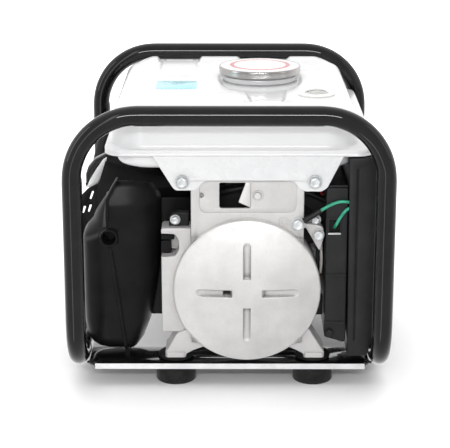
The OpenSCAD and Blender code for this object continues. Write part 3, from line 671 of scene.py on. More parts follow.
def build_frame():
    hoop("near_hoop_tube", -1)
    hoop("far_hoop_tube", 1)
    for side, tag in ((-1, "left"), (1, "right")):
        path = line((side * LEG_X, -RAIL_START, RAIL_Z), (side * LEG_X, RAIL_START, RAIL_Z), 12)
        rail = piece("rail_" + tag, *tube(path, TUBE_R - 0.02, 40), "frame_black")
        if side < 0:
            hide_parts("side_rails")
        for end in (-1, 1):
            weld_ring(
                "rail_weld_%s_%s" % (tag, "near" if end < 0 else "far"),
                (side * LEG_X, end * RAIL_START, RAIL_Z),
                (0, 1, 0),
                seed=side * 3.0 + end,
                thick=0.7,
            )
            # the fine ring where the bent foot meets the leg
            ring = [(TUBE_R - 0.3, -1.0), (TUBE_R, -0.8), (TUBE_R + 0.22, -0.3), (TUBE_R + 0.22, 0.3),
                    (TUBE_R, 0.8), (TUBE_R - 0.3, 1.0)]
            if side < 0 or end > 0:
                piece(
                    "leg_seam_%s_%s" % (tag, "near" if end < 0 else "far"),
                    *turned(ring, 48, (side * (LEG_X - 0.22), end * (HOOP_Y - 0.22), RAIL_Z + FOOT_R + 3), "z"),
                    "frame_black",
                )


# ---------------------------------------------------------------- fuel tank
TANK_X = (-112.0, 122.0)
TANK_Y = 146.0
TANK_TOP = 269.5
TANK_CORNER = 34.0
PAD_X = -54.8
CAP_X, CAP_Y = 32.0, 40.0
GAUGE_X, GAUGE_Y = 86.0, -57.0


def inside_round(x, y, cx, cy, half_x, half_y, corner):
    """Signed distance to a rounded rectangle, negative inside."""
    dx, dy = abs(x - cx) - (half_x - corner), abs(y - cy) - (half_y - corner)
    return math.hypot(max(dx, 0), max(dy, 0)) + min(max(dx, dy), 0) - corner


def basin_depth(x, y):
    """Spill basin round the filler, the drain channel in front of it and the pressed marks."""
    ring = math.hypot(x - CAP_X, y - CAP_Y)
    # half width of the dished field at this y
    half = between(y, [(-44, 15), (-40, 22), (-32, 30), (-18, 36), (0, 41), (20, 43.5), (40, 44)])
    field = abs(x - CAP_X) - half if y < CAP_Y else ring - 44.0
    front = -42.0 - y
    edge = max(field, front)
    depth = 3.4 * (1 - smooth_step(edge, -4.0, 0.6))
    channel = max(abs(x - CAP_X - 4.5) - between(y, [(-88, 16.8), (-30, 21)]), -88 - y, y + 20)
    depth = max(depth, 2.9 * (1 - smooth_step(channel, -2.6, 0.5)))
    for side in (-1, 1):
        tab = inside_round(x, y, CAP_X + 4.5 + side * 18.5, -89.5, 3.0, 3.4, 1.2)
        depth = max(depth, 1.3 * (1 - smooth_step(tab, -0.9, 0.7)))
    # the collar that the filler neck stands in rises again
    depth *= smooth_step(ring, 33.0, 37.5) if ring < 38 else 1.0
    return depth


def top_height(x, y):
    z = TANK_TOP - basin_depth(x, y)
    # label pad with its notched corners
    pad = max(abs(x - PAD_X) - 18.6, abs(y - 87.5) - 49.5)
    notch = max(10.0 - abs(x - PAD_X), 0)
    pad = max(pad, -notch) if y > 130 else pad
    if y > 131.5 and abs(x - PAD_X) < 14.5:
        pad = max(pad, 0.4)
    z += 0.8 * (1 - smooth_step(pad, -0.8, 0.5))
    # raised band along the rear edge, open behind the filler
    band = smooth_step(y, 104.0, 124.0) * smooth_step(abs(x - 38.0), 22.0, 30.0)
    band *= smooth_step(abs(x - PAD_X), 20.0, 25.0)
    band *= 1 - smooth_step(abs(x - 5.0), 88.0, 104.0)
    z += 4.4 * band
    # strap recesses at the far and near edge
    for cx in (PAD_X, 31.0):
        far = max(abs(x - cx) - 19.0, 139.5 - y)
        z -= 0.9 * (1 - smooth_step(far, -0.8, 0.8))
    near = max(abs(x + 46) - 20.0, y + 128.0)
    z -= 0.9 * (1 - smooth_step(near, -2.0, 1.5))
    crease = max(abs(x + 11.5) - 10.0, abs(y + 45.6) - 0.4)
    z -= 0.5 * (1 - smooth_step(crease, -0.6, 1.4))
    # low swage beside the filler
    swage = inside_round(x, y, 78.0, 100.0, 20.0, 26.0, 9.0)
    return z - 0.6 * (1 - smooth_step(swage, -3.0, 0.5))


def build_tank():
    # profile of the wall, from the top's rim outwards: (inset from the plan, drop from the top)
    bend = 13.0
    wall = [(bend * (1 - math.sin(math.radians(t))), bend * (1 - math.cos(math.radians(t)))) for t in range(9,
        91, 9)]
    wall += [(-0.2, 18.0), (-0.5, 24.0), (-0.8, 29.0), (-1.1, 31.0)]
    wall += [(-1.8, 33.0), (-3.0, 34.2)]

    # even grid for the top, pulled on to a rounded rectangle
    nx, ny = 150, 186
    cx, cy = (TANK_X[0] + TANK_X[1]) / 2, 0.0
    hx, hy = (TANK_X[1] - TANK_X[0]) / 2 - bend, TANK_Y - bend
    r = TANK_CORNER - bend
    points, faces = [], []
    for j in range(ny + 1):
        for i in range(nx + 1):
            u, v = 2 * i / nx - 1, 2 * j / ny - 1
            x, y = u * hx, v * hy
            t = max(abs(u), abs(v))
            if t > 1e-6:
                ex, ey = x / t, y / t
                dx, dy = abs(ex) - (hx - r), abs(ey) - (hy - r)
                if dx > 0 and dy > 0:
                    d = math.hypot(dx, dy)
                    qx = math.copysign(hx - r + dx / d * r, ex)
                    qy = math.copysign(hy - r + dy / d * r, ey)
                    k = t ** 5
                    x, y = x + (qx - ex) * k, y + (qy - ey) * k
            x, y = x + cx, y + cy
            points.append((x, y, top_height(x, y)))
    row = nx + 1
    for j in range(ny):
        for i in range(nx):
            a = j * row + i
            middle = points[a]
            if math.hypot(middle[0] - CAP_X, middle[1] - CAP_Y) < 29.5:
                continue
            faces.append((a, a + 1, a + row + 1, a + row))
    edge = list(range(nx)) + [j * row + nx for j in range(ny)]
    edge += [ny * row + i for i in range(nx, 0, -1)] + [j * row for j in range(ny, 0, -1)]
    # outward direction of the plan at each edge point
    outward = []
    for k in edge:
        x, y = points[k][0] - cx, points[k][1] - cy
        dx, dy = abs(x) - (hx - r), abs(y) - (hy - r)
        if dx > 0 and dy > 0:
            d = math.hypot(dx, dy)
            outward.append((math.copysign(dx / d, x), math.copysign(dy / d, y)))
        elif dx > dy:
            outward.append((math.copysign(1, x), 0.0))
        else:
            outward.append((0.0, math.copysign(1, y)))
    last = edge
    for inset, drop in wall:
        base = len(points)
        step = bend - inset
        for k, (ox, oy) in zip(edge, outward):
            x, y, z = points[k]
            fade = smooth_step(drop, 0.0, 6.0)
            lift = z * (1 - fade) + TANK_TOP * fade
            points.append((x + ox * step, y + oy * step, lift - drop))
        last = stitch(faces, last, base)
    # flange: out to the CAD rim, rolled over, then back in under the pan
    rim = rim_points(last, points, outward)
    for ring_points in rim:
        base = len(points)
        points.extend(ring_points)
        last = stitch(faces, last, base)
    piece("tank_shell", points, faces, "tank_white", replaces=["tank_upper_shell"], sharp=50)


def rim_points(last, points, outward):
    """Loops of the pressed flange round the tank, from its top face down and under."""
    x0, x1, y0, y1 = -117.6, 138.6, -149.6, 149.6
    made = []
    for inset, z in ((0.9, 235.3), (0.0, 234.6), (0.0, 232.4), (0.45, 231.9), (0.45, 231.5), (0.0, 231.0),
        (0.0, 229.2), (0.9, 228.5), (4.5, 228.4)):
        loop = []
        for k, (ox, oy) in zip(last, outward):
            x, y, _ = points[k]
            # place on the rim's rounded rectangle in the same direction from the plan's corner
            r = 19.0
            cx0, cx1, cy0, cy1 = x0 + r, x1 - r, y0 + r, y1 - r
            px = x0 + inset if ox < -0.999 else x1 - inset if ox > 0.999 else None
            py = y0 + inset if oy < -0.999 else y1 - inset if oy > 0.999 else None
            if px is not None:
                y2 = min(max(y, cy0), cy1)
                loop.append((px, y2, z))
            elif py is not None:
                x2 = min(max(x, cx0), cx1)
                loop.append((x2, py, z))
            else:
                bx = cx0 if ox < 0 else cx1
                by = cy0 if oy < 0 else cy1
                loop.append((bx + ox * (r - inset), by + oy * (r - inset), z))
        made.append(loop)
    return made


def plan_loop(x0, x1, y0, y1, r, steps=10, side=14):
    """Points round a rounded rectangle, anticlockwise."""
    made = []
    corners = ((x1 - r, y0 + r, 270), (x1 - r, y1 - r, 0), (x0 + r, y1 - r, 90), (x0 + r, y0 + r, 180))
    for i, (cx, cy, start) in enumerate(corners):
        for k in range(steps + 1):
            t = math.radians(start + 90 * k / steps)
            made.append((cx + r * math.cos(t), cy + r * math.sin(t)))
        nx, ny, nstart = corners[(i + 1) % 4]
        t = math.radians(nstart)
        ex, ey = nx + r * math.cos(t), ny + r * math.sin(t)
        sx, sy = made[-1]
        for k in range(1, side):
            made.append((sx + (ex - sx) * k / side, sy + (ey - sy) * k / side))
    return made


def stacked(loops, close_first=True, close_last=True):
    """Points and faces through loops of equal length, each a list of points."""
    return lofted([p for loop in loops for p in loop], len(loops[0]), False, close_first, close_last)


def build_pan():
    """The lower pressing: flange, wall and a bottom with a large rounded edge."""
    loops = []
    for inset, z, r in (
        (5.0, 228.9, 18), (0.6, 228.7, 22), (0.0, 227.8, 24), (0.0, 223.0, 24), (0.8, 220.0, 24),
        (3.0, 217.2, 25), (6.5, 215.3, 26), (11.5, 214.2, 27), (20.0, 214.0, 28),
    ):
        loops.append([(x, y, z) for x, y in plan_loop(-106.5 + inset, 117.6 - inset * 0.8, -144 + inset,
            144 - inset, r)])
    piece("tank_pan", *stacked(loops), "tank_white", replaces=["tank_lower_shell"], sharp=40)


def build_filler():
    # neck collar under the cap
    neck = [(26.0, 263.0), (31.0, 264.0), (37.5, 266.0), (39.2, 267.4), (39.6, 269.8), (38.9, 271.6),
        (37.6, 272.4), (31.5, 272.6), (30.2, 273.4), (29.8, 273.9), (27.5, 273.9), (27.0, 273.2), (27.0, 262.0)]
    piece("filler_collar", *turned(neck, 96, (CAP_X, CAP_Y, 0)), "tank_white", sharp=35)
    # cap: brushed skirt, rolled edge and a white disc with a red ring let into it
    skirt = [
        (31.2, 275.4), (31.2, 273.6), (40.6, 273.25), (41.9, 273.5), (42.42, 274.2), (42.5, 275.2),
        (42.5, 278.6),
        (42.4, 279.9), (42.1, 280.7), (41.4, 281.15), (40.8, 281.1), (40.6, 280.7),
    ]
    piece("cap_shell", *turned(skirt, 144, (CAP_X, CAP_Y, 0)), "cap_chrome", "cap", ["fuel_cap"], sharp=40)
    disc = [(41.0, 280.5), (40.6, 281.0), (39.2, 281.3), (34.0, 281.5), (20.0, 281.72), (0.01, 281.8)]
    face = piece("cap_disc", *turned(disc, 96, (CAP_X, CAP_Y, 0)), "cap_chrome", "cap", sharp=40)
    repaint(face, cap_label())
    under = [(31.1, 275.5), (29.8, 275.6), (29.4, 275.55), (0.01, 275.6)]
    piece("cap_inside", *turned(under, 72, (CAP_X, CAP_Y, 0)), "cap_chrome", "cap", sharp=40)


def cap_label():
    """White lacquer with a plain red ring."""
    n = Net("cap_label")
    n.put(Coat_Weight=0.4, Coat_Roughness=0.1)
    where = n.add("ShaderNodeMapping")
    where.inputs["Location"].default_value = (-CAP_X * MM, -CAP_Y * MM, 0)
    n.link(n.coord, where.inputs["Vector"])
    flat = n.add("ShaderNodeVectorMath", operation="MULTIPLY")
    flat.inputs[1].default_value = (1, 1, 0)
    n.link(where.outputs["Vector"], flat.inputs[0])
    away = n.add("ShaderNodeVectorMath", operation="LENGTH")
    n.link(flat.outputs["Vector"], away.inputs[0])
    ring = n.math("MULTIPLY", n.span(away.outputs["Value"], 0.0268, 0.0271),
        n.span(away.outputs["Value"], 0.0314, 0.0317, 1.0, 0.0))
    white = n.mix(n.span(n.noise(60, 4), 0.3, 0.7), (0.66, 0.655, 0.64), (0.72, 0.715, 0.705))
    n.colour(n.mix(ring, white, (0.46, 0.07, 0.08)))
    n.gloss(150, 4, 0.22, 0.36)
    n.grain(300, 2, 0.00004, 0.5)
    return n.mat


def build_gauge():
    base = [(8.0, 268.8), (17.4, 269.1), (18.0, 269.7), (17.9, 270.6), (17.2, 271.1), (13.0, 271.4),
        (12.0, 271.2), (11.4, 270.4), (0.01, 270.3)]
    piece("gauge_base", *turned(base, 72, (GAUGE_X, GAUGE_Y, 0)), "plug_white", replaces=["fuel_gauge"],
        sharp=40)
    trim = [(11.3, 270.6), (11.5, 271.7), (12.3, 271.9), (12.8, 271.5), (12.9, 270.8)]
    piece("gauge_trim", *turned(trim, 72, (GAUGE_X, GAUGE_Y, 0)), "plug_white", sharp=40)
    dome = [(11.2, 270.5), (11.15, 271.6), (9.8, 272.9), (7.4, 273.8), (4.2, 274.3), (0.01, 274.5)]
    piece("gauge_lens", *turned(dome, 72, (GAUGE_X, GAUGE_Y, 0)), "clear_lens", sharp=60)
    float_arm = [(GAUGE_X - 8, GAUGE_Y, 270.6), (GAUGE_X, GAUGE_Y + 1, 270.9), (GAUGE_X + 8, GAUGE_Y, 270.6)]
    curve_tube("gauge_pointer", float_arm, 0.7, 10, "shell_black")


def build_labels():
    """A blank sticker in front of the raised pad."""
    loops = []
    for inset, z in ((0.25, TANK_TOP - 0.02), (0.0, TANK_TOP + 0.12), (0.15, TANK_TOP + 0.2)):
        loops.append([(x, y, z) for x, y in plan_loop(-74 + inset, -33 - inset, -31 + inset, 12 - inset, 5.0, 6,
            6)])
    label = piece("blank_label", *stacked(loops, False, True), "tank_white", sharp=40)
    n = Net("label_film")
    n.put(Coat_Weight=0.3, Coat_Roughness=0.15)
    n.tones(40, 3, 0.3, 0.7, (0.3, 0.6, 0.68), (0.36, 0.65, 0.72))
    n.gloss(120, 4, 0.2, 0.34)
    n.grain(240, 2, 0.00004, 0.6)
    repaint(label, n.mat)


# ---------------------------------------------------------------- exhaust
OUTLET = (-115.8, 144.0)
MUFFLER_Y, MUFFLER_HALF = -96.0, 34.0
SEAM = [(25.0, -100.0), (32.8, -101.5), (80.7, -107.4), (134.8, -115.0), (152.9, -117.5), (182.4, -116.6),
    (199.8, -107.6)]
LEFT_SIDE = [
    (26.0, -112.0), (28.5, -131.0), (33.0, -136.5), (42.0, -140.6), (55.0, -142.4), (80.0, -142.9),
    (139.0, -142.9), (143.0, -141.8), (149.0, -138.2),
    (155.0, -133.4), (166.0, -130.2), (173.3, -127.1), (180.0, -123.6), (187.0, -119.6),
]
RIGHT_SIDE = [
    (26.0, -92.0), (29.0, -89.0), (36.0, -84.0), (53.0, -77.5), (82.0, -71.8), (108.0, -67.4), (145.0, -65.6),
    (184.0, -65.8), (191.0, -67.4), (197.0, -73.5),
]


def muffler_half(name, side, node, low, high):
    """One stamped half: sections at each height, squarish below and leaning back above the outlet."""
    sides_table = LEFT_SIDE if side < 0 else RIGHT_SIDE
    levels = []
    z = low
    while z < high:
        near_end = min(z - low, high - z)
        levels.append(z)
        z += 0.5 if near_end < 4 else 0.8 if side < 0 and 134 < z < 154 else 1.1 if near_end < 14 else 1.9
    levels.append(high)
    loops = []
    n = 44
    for z in levels:
        xs = between(z, SEAM)
        xe = between(z, sides_table)
        end = min((z - low) / 15.0, (high - z) / 5.0, 1.0)
        close = math.sqrt(max(1 - (1 - end) ** 2.4, 0.0))
        depth = MUFFLER_HALF * (0.62 + 0.38 * close) if z < 100 else MUFFLER_HALF * (0.84 + 0.16 * close)
        if side < 0:
            power = 3.6 - 1.7 * smooth_step(z, 141.0, 151.0)
            depth_front = depth - 5.0 * smooth_step(z, 156.0, 186.0)
        else:
            power = 2.25
            depth_front = depth - 7.5 * min(max(z - 175.0, 0.0) / 20.0, 1.0)
        loop = []
        for k in range(n + 1):
            t = math.pi * k / n
            s, c = math.sin(t), math.cos(t)
            x = xs + (xe - xs) * (abs(s) ** (2 / power))
            reach = depth_front if c > 0 else depth
            if side < 0 and c > 0:
                ledge = 147.6 + (x + 123.3) * 0.45
                reach -= 9.0 * smooth_step(z, ledge - 3.4, ledge + 1.0) * smooth_step(abs(s), 0.0, 0.35)
            y = MUFFLER_Y - math.copysign(abs(c) ** (2 / power), c) * reach
            away = math.hypot(x - OUTLET[0], z - OUTLET[1])
            if c > 0 and away < 10.5:
                y = y + (1 - smooth_step(away, 5.4, 7.4)) * 16
            # the top falls away to the back
            sink = smooth_step(z, 150.0, 197.0) * 0.42 * max(y - MUFFLER_Y + depth - 9.0, 0.0)
            loop.append((x, y, z - sink))
        loops.append(loop)
    return piece(name, *stacked(loops), "exhaust_black", replaces=[node], sharp=50)


def seam_path():
    """The line of the rolled seam on the front and on the back, from the bottom up."""
    front, back = [], []
    z = 26.0
    while z <= 200.5:
        end = min((z - 22.0) / 15.0, 1.0)
        close = math.sqrt(max(1 - (1 - end) ** 2.4, 0.0))
        depth = MUFFLER_HALF * (0.62 + 0.38 * close)
        lean = 1.0 * smooth_step(z, 182.0, 200.0)
        x = between(z, SEAM)
        front.append((x, MUFFLER_Y - depth + lean, z))
        back.append((x, MUFFLER_Y + depth, z - smooth_step(z, 150.0, 197.0) * 25.0))
        z += 3.0
    return front, back


def build_muffler():
    muffler_half("muffler_left_half", -1, "muffler_left", 27.5, 187.0)
    muffler_half("muffler_right_half", 1, "muffler_right", 26.5, 197.0)
    front, back = seam_path()

    def ridge(name, path, out, proud, inner, half):
        points = []
        shape = [(-half, -inner), (-half, proud - 0.7), (-half * 0.5, proud), (half * 0.5, proud),
            (half, proud - 0.7), (half, -inner)]
        for i, p in enumerate(path):
            p = Vector(p)
            ends = min(i, len(path) - 1 - i)
            k = min(1.0, 0.55 + 0.2 * ends)
            for u, v in shape:
                points.append(p + Vector((u * k, out * (v if v < 0 else v * k), 0)))
        return piece(name, *lofted(points, len(shape)), "exhaust_black", sharp=45)

    above = [p for p in front if p[2] > OUTLET[1] + 8.0]
    below = [p for p in front if p[2] < OUTLET[1] - 8.0]
    ridge("seam_front_low", below, -1, 3.0, 3.0, 1.5)
    ridge("seam_front_high", above, -1, 3.0, 14.0, 1.5)
    ridge("seam_back", back, 1, 2.3, 2.0, 1.15)
    # the flange tab at the bottom, where both halves' rims run out
    tab = [(-101.4, 30.0), (-102.2, 24.0), (-98.7, 20.6), (-97.6, 21.2), (-97.2, 27.0), (-98.2, 32.0)]
    loops = [[(x, y, z) for x, z in tab] for y in (-130.6, -129.0, -112.0, -110.5)]
    piece("seam_tab", *stacked(loops), "exhaust_black", sharp=30)
    rim = [(6.8, -118.0), (6.8, -132.9), (7.1, -133.5), (7.9, -133.6), (8.5, -133.1), (8.6, -131.0),
        (9.4, -129.4), (10.5, -128.6)]
    piece("outlet_rim", *turned(rim, 64, (OUTLET[0], 0, OUTLET[1]), "y"), "exhaust_black", sharp=40)
    back_plate = [(0.01, -117.5), (7.0, -117.5)]
    piece("outlet_baffle", *turned(back_plate, 48, (OUTLET[0], 0, OUTLET[1]), "y"), "exhaust_black")
    # elbow and flange to the exhaust port
    lean = math.radians(55)
    port_x, port_z = 17 - 79 * math.sin(lean), 98.5 + 79 * math.cos(lean)
    elbow = [(-68.5, -80, port_z)] + arc((port_x - 14, -66, port_z), 14, 270, 360, 12,
        "xy") + [(port_x, -46, port_z)]
    piece("exhaust_elbow", *tube(elbow, 8.5, 32, up=(0, 0, 1)), "exhaust_black", sharp=60)
    for dx in (-1, 1):
        ux, uz = math.cos(lean), math.sin(lean)
        centre = (port_x + dx * 11 * ux, 0, port_z + dx * 11 * uz)
        nut = [(0.01, -52.6), (3.6, -52.6), (4.1, -52.0), (4.1, -49.6), (6.0, -49.5), (6.0, -48.9)]
        piece("port_nut_%s" % ("a" if dx < 0 else "b"), *turned(nut, 24, centre, "y"), "zinc_steel", sharp=30)
    flange = []
    for y in (-49.6, -44.6):
        loop = []
        for x, z in plan_loop(-15, 15, -12, 12, 5, 6, 4):
            lx, lz = x * math.cos(lean) - z * math.sin(lean), x * math.sin(lean) + z * math.cos(lean)
            loop.append((port_x + lx, y, port_z + lz))
        flange.append(loop)
    piece("exhaust_flange", *stacked(flange), "exhaust_black", sharp=30)


def build_guards():
    """The heat shield behind the exhaust, its bright lining strip and the slotted guard."""
    face = fillet([(-123.0, 203.6, 2), (-117.1, 201.0, 2), (-65.2, 185.6, 2), (-36.5, 176.8, 1),
        (-36.5, 118, 1), (-132.8, 118, 1), (-132.8, 172.0, 3)])
    slab("shield_face", face, [], -60.6, -59.4, "exhaust_black", bevel=0.4)
    edge = [(-120.4, -61.0, 202.4), (-117.1, -61.0, 201.2), (-91.0, -61.0, 193.6), (-65.2, -61.0, 185.8),
        (-38.0, -61.0, 177.4)]
    curve_tube("shield_bead", edge, 0.8, 10, "shell_black", rounds=1)
    roof = [(-122, 204.0), (-117.0, 201.6), (-65.0, 186.2), (-37.0, 177.6)]
    loops = []
    for y, up, thick in ((-60.4, 0.0, 0.0), (-40.0, 7.0, 0.0), (-39.4, 6.2, 1.0), (-60.0, -1.4, 1.0)):
        loops.append([(x, y, min(z + up, 212.8) - thick * 0.4) for x, z in roof])
    points = [p for loop in loops for p in loop]
    faces = []
    for i in range(4):
        j = (i + 1) % 4
        for k in range(3):
            faces.append((i * 4 + k, i * 4 + k + 1, j * 4 + k + 1, j * 4 + k))
    faces += [(0, 4, 8, 12), (15, 11, 7, 3)]
    piece("shield_roof", points, faces, "exhaust_black", sharp=30)
    guard = fillet([(-148.4, 92.5, 2), (-128.5, 92.5, 2), (-128.5, 178.6, 2), (-133.0, 178.2, 4),
        (-142.0, 173.2, 6), (-148.4, 166.5, 5)])
    slits = [
        fillet([(-137.6, 170.6, 0.6), (-135.6, 170.8, 0.6), (-138.6, 162.4, 0.6), (-140.4, 162.4, 0.6)], 3),
        fillet([(-140.2, 156.6, 0.6), (-138.0, 156.8, 0.6), (-140.8, 149.0, 0.6), (-142.6, 149.0, 0.6)], 3),
        fillet([(-146.4, 155.0, 0.6), (-144.0, 155.2, 0.6), (-146.4, 147.8, 0.6), (-147.8, 147.8, 0.6)], 3),
    ]
    for z in (122.0, 108.0):
        for x in (-134.0, -140.2, -146.0):
            slits.append(fillet([(x - 0.9, z, 0.6), (x + 1.3, z + 0.2, 0.6), (x - 1.3, z - 7.6, 0.6),
                (x - 2.6 if x > -146 else x - 1.8, z - 7.6, 0.6)], 3))
    slab("guard_plate", guard, slits, -57.5, -55.9, "exhaust_black", replaces=["muffler_guard"], bevel=0.3)
    lining = fillet([(-143.4, 173.4, 1), (-140.0, 181.0, 3), (-133.6, 191.4, 4), (-126.4, 201.6, 4),
        (-121.0, 204.9, 1), (-124.3, 192.0, 5), (-129.1, 182.2, 4), (-133.5, 175.4, 3), (-141.0, 172.2, 1)])
    slab("shield_lining", lining, [], -50.0, -48.6, "zinc_and_painted_reflection", bevel=0.4)
    rounded = fillet([(-145.4, 170.0, 1), (-145.2, 184.0, 6), (-142.9, 191.0, 8), (-136.0, 199.2, 8),
        (-128.0, 203.4, 6), (-121.4, 206.4, 1), (-121.0, 180.0, 1)])
    slab("guard_corner", rounded, [], -44.0, -26.0, "guard_gloss", bevel=5.0, segments=5)


def build_wires():
    # earth lead: black crimp sleeve at the bolt, green lead with a yellow stripe down into the box
    lead = [(71.8, -149.9, 168.0), (79.0, -150.3, 172.0), (88.0, -149.6, 177.6), (97.0, -148.9, 182.8),
        (105.0, -148.4, 185.2), (112.0, -148.0, 184.8),
            (117.2, -147.0, 183.4), (116.8, -147.0, 180.0), (110.6, -147.6, 177.0), (104.6, -147.8, 168.6),
            (101.6, -146.4, 161.6), (100.4, -139.5, 157.4)]
    curve_tube("earth_lead", lead, 1.55, 20, "earth_green", replaces=["earth_wire"])
    points = cut_round(lead, 3)
    shifted = []
    for i, (p, _, a, b) in enumerate(frames(points, (0.2, -1, 0.4))):
        turn = 0.9 + 0.05 * i
        shifted.append(p + (a * math.cos(turn) + b * math.sin(turn)) * 1.15)
    stripe = piece("earth_stripe", *tube(shifted, 0.55, 8, up=(0.3, 1, 0.2)), "earth_green")
    n = Net("stripe_yellow")
    n.tones(150, 3, 0.3, 0.7, (0.62, 0.5, 0.04), (0.72, 0.6, 0.07))
    n.gloss(200, 3, 0.3, 0.45)
    n.grain(700, 2, 0.00004, 0.5)
    repaint(stripe, n.mat)
    sleeve = [(70.5, -150.6, 166.6), (76.0, -150.8, 169.9), (82.0, -150.4, 173.9), (86.5, -149.8, 176.8)]
    curve_tube("earth_sleeve", sleeve, 2.6, 18, "shell_black")
    # ring terminal under the bolt
    ring = [(3.1, -148.3), (3.1, -149.1), (6.4, -149.1), (6.4, -148.3)]
    piece("earth_terminal", *turned(ring + ring[:1], 32, (65.2, 0, 163.2), "y"), "zinc_steel", sharp=30)
    # leads from the winding to the box, and the loom seen through the window
    curve_tube("loom_upper", [(-8, -128, 196), (0, -132, 200), (12, -131, 201.6), (30, -128, 199),
        (60, -124, 192), (78, -120, 186), (94, -118, 178)], 2.9, 16, "guard_gloss")
    curve_tube("loom_lower", [(-8, -122, 187), (4, -126, 191), (16, -126, 193), (40, -122, 188),
        (66, -118, 176), (84, -112, 160), (90, -108, 140)], 2.5, 16, "shell_black")
    curve_tube("lead_beige", [(87.0, -118, 150), (87.8, -121, 136), (86.8, -122, 124), (88.2, -121, 112),
        (87.4, -118, 100)], 2.0, 14, "copper_wire")
    curve_tube("lead_pale", [(89.4, -122, 148), (89.0, -124.5, 132), (90.0, -124, 118), (88.8, -122, 106)], 1.3,
        12, "plug_white")
    curve_tube("lead_black", [(84.5, -123, 158), (86.0, -125, 140), (85.4, -126, 118), (86.6, -125, 96),
        (88.0, -122, 80)], 1.9, 14, "shell_black")
    block("lead_connector", (82.5, 91.2, -131, -119, 1.6, 4, 2), "z", (66, 66.6, 83.4, 84), "shell_black")
    curve_tube("lead_red", [(73, -117, 192), (80, -119, 194), (87, -119, 190), (91, -118, 180)], 1.0, 12,
        "signal_red")


def rope_line():
    """Where the rope leaves the reel, the direction it runs in and the one square to it."""
    tilt = math.radians(14)
    along = Vector((math.cos(tilt), 0, -math.sin(tilt)))
    upward = Vector((math.sin(tilt), 0, math.cos(tilt)))
    base = Vector((HUB_X, 122, HUB_Z)) + upward * 34
    return base, along, upward


def build_spring():
    points, faces = [], []
    turns, steps = 8, 48
    count = turns * steps
    for i in range(count + 1):
        t = 2 * math.pi * i / steps
        r = 9.6 + (29.4 - 9.6) * (i / count)
        c, s = math.cos(t), math.sin(t)
        for dr, y in ((-0.35, 130.6), (-0.35, 136.9), (0.35, 136.9), (0.35, 130.6)):
            points.append((HUB_X + (r + dr) * c, y, HUB_Z + (r + dr) * s))
    for i in range(count):
        for k in range(4):
            m = (k + 1) % 4
            faces.append((i * 4 + k, i * 4 + m, (i + 1) * 4 + m, (i + 1) * 4 + k))
    faces += [(0, 1, 2, 3), tuple(count * 4 + k for k in (3, 2, 1, 0))]
    piece("clock_spring", points, faces, "machined_steel", replaces=["recoil_spring"], sharp=30)
    axle = [(0.01, 112.2), (5.4, 112.2), (5.95, 112.9), (5.95, 137.4), (5.4, 138.0), (0.01, 138.0)]
    piece("reel_axle", *turned(axle, 40, (HUB_X, 0, HUB_Z), "y"), "machined_steel", sharp=30)


# ---------------------------------------------------------------- plates, castings and fittings
def fillet(corners, steps=6):
    """An outline with its corners (u, v, radius) rounded."""
    made = []
    n = len(corners)
    for i, (u, v, r) in enumerate(corners):
        here = Vector((u, v))
        if r <= 0:
            made.append((u, v))
            continue
        before = (Vector(corners[i - 1][:2]) - here).normalized()
        after = (Vector(corners[(i + 1) % n][:2]) - here).normalized()
        half = before.angle(after) / 2
        reach = r / math.tan(half)
        middle = here + (before + after).normalized() * (r / math.sin(half))
        a = here + before * reach - middle
        b = here + after * reach - middle
        turn = a.angle_signed(b)
        for k in range(steps + 1):
            t = -turn * k / steps
            c, s = math.cos(t), math.sin(t)
            made.append((middle.x + a.x * c - a.y * s, middle.y + a.x * s + a.y * c))
    return made


def place(u, v, h, axis):
    """A point from its two places across an axis, y or z, and its height along it."""
    return (u, h, v) if axis == "y" else (u, v, h)


def block(name, plan, axis, levels, material, sharp=30.0):
    """A bar through levels along an axis; plan is what plan_loop takes."""
    loops = [[place(u, v, h, axis) for u, v in plan_loop(*plan)] for h in levels]
    return piece(name, *stacked(loops), material, sharp=sharp)


def slab(name, outline, holes, low, high, material, replaces=(), axis="y", bevel=0.4, segments=2):
    """A flat plate with holes and rounded edges. axis is the direction of its thickness."""
    loops = [outline] + list(holes)
    flat = [p for loop in loops for p in loop]
    triangles = tessellate_polygon([[Vector((u, v, 0)) for u, v in loop] for loop in loops])

    count = len(flat)
    points = [place(u, v, h, axis) for h in (low, high) for u, v in flat]
    faces = [tuple(t) for t in triangles] + [tuple(count + k for k in reversed(t)) for t in triangles]
    start = 0
    for loop in loops:
        for k in range(len(loop)):
            a, b = start + k, start + (k + 1) % len(loop)
            faces.append((a, b, count + b, count + a))
        start += len(loop)
    obj = raw(name, points, faces)
    bm = bmesh.new()
    bm.from_mesh(obj.data)
    bmesh.ops.recalc_face_normals(bm, faces=bm.faces)
    if bevel:
        edges = [e for e in bm.edges if len(e.link_faces) == 2 and e.calc_face_angle(0) > math.radians(50)
                 and any(abs(f.normal["xyz".index(axis)]) > 0.9 for f in e.link_faces)]
        bmesh.ops.bevel(bm, geom=edges, offset=bevel * MM, segments=segments, profile=0.5, affect="EDGES")
    bm.to_mesh(obj.data)
    bm.free()
    tidy(obj, 38)
    return settle(obj, material, "chassis", replaces)


def circle(u, v, r, steps=28):
    return [(u + r * math.cos(2 * math.pi * k / steps),
        v + r * math.sin(2 * math.pi * k / steps)) for k in range(steps)]


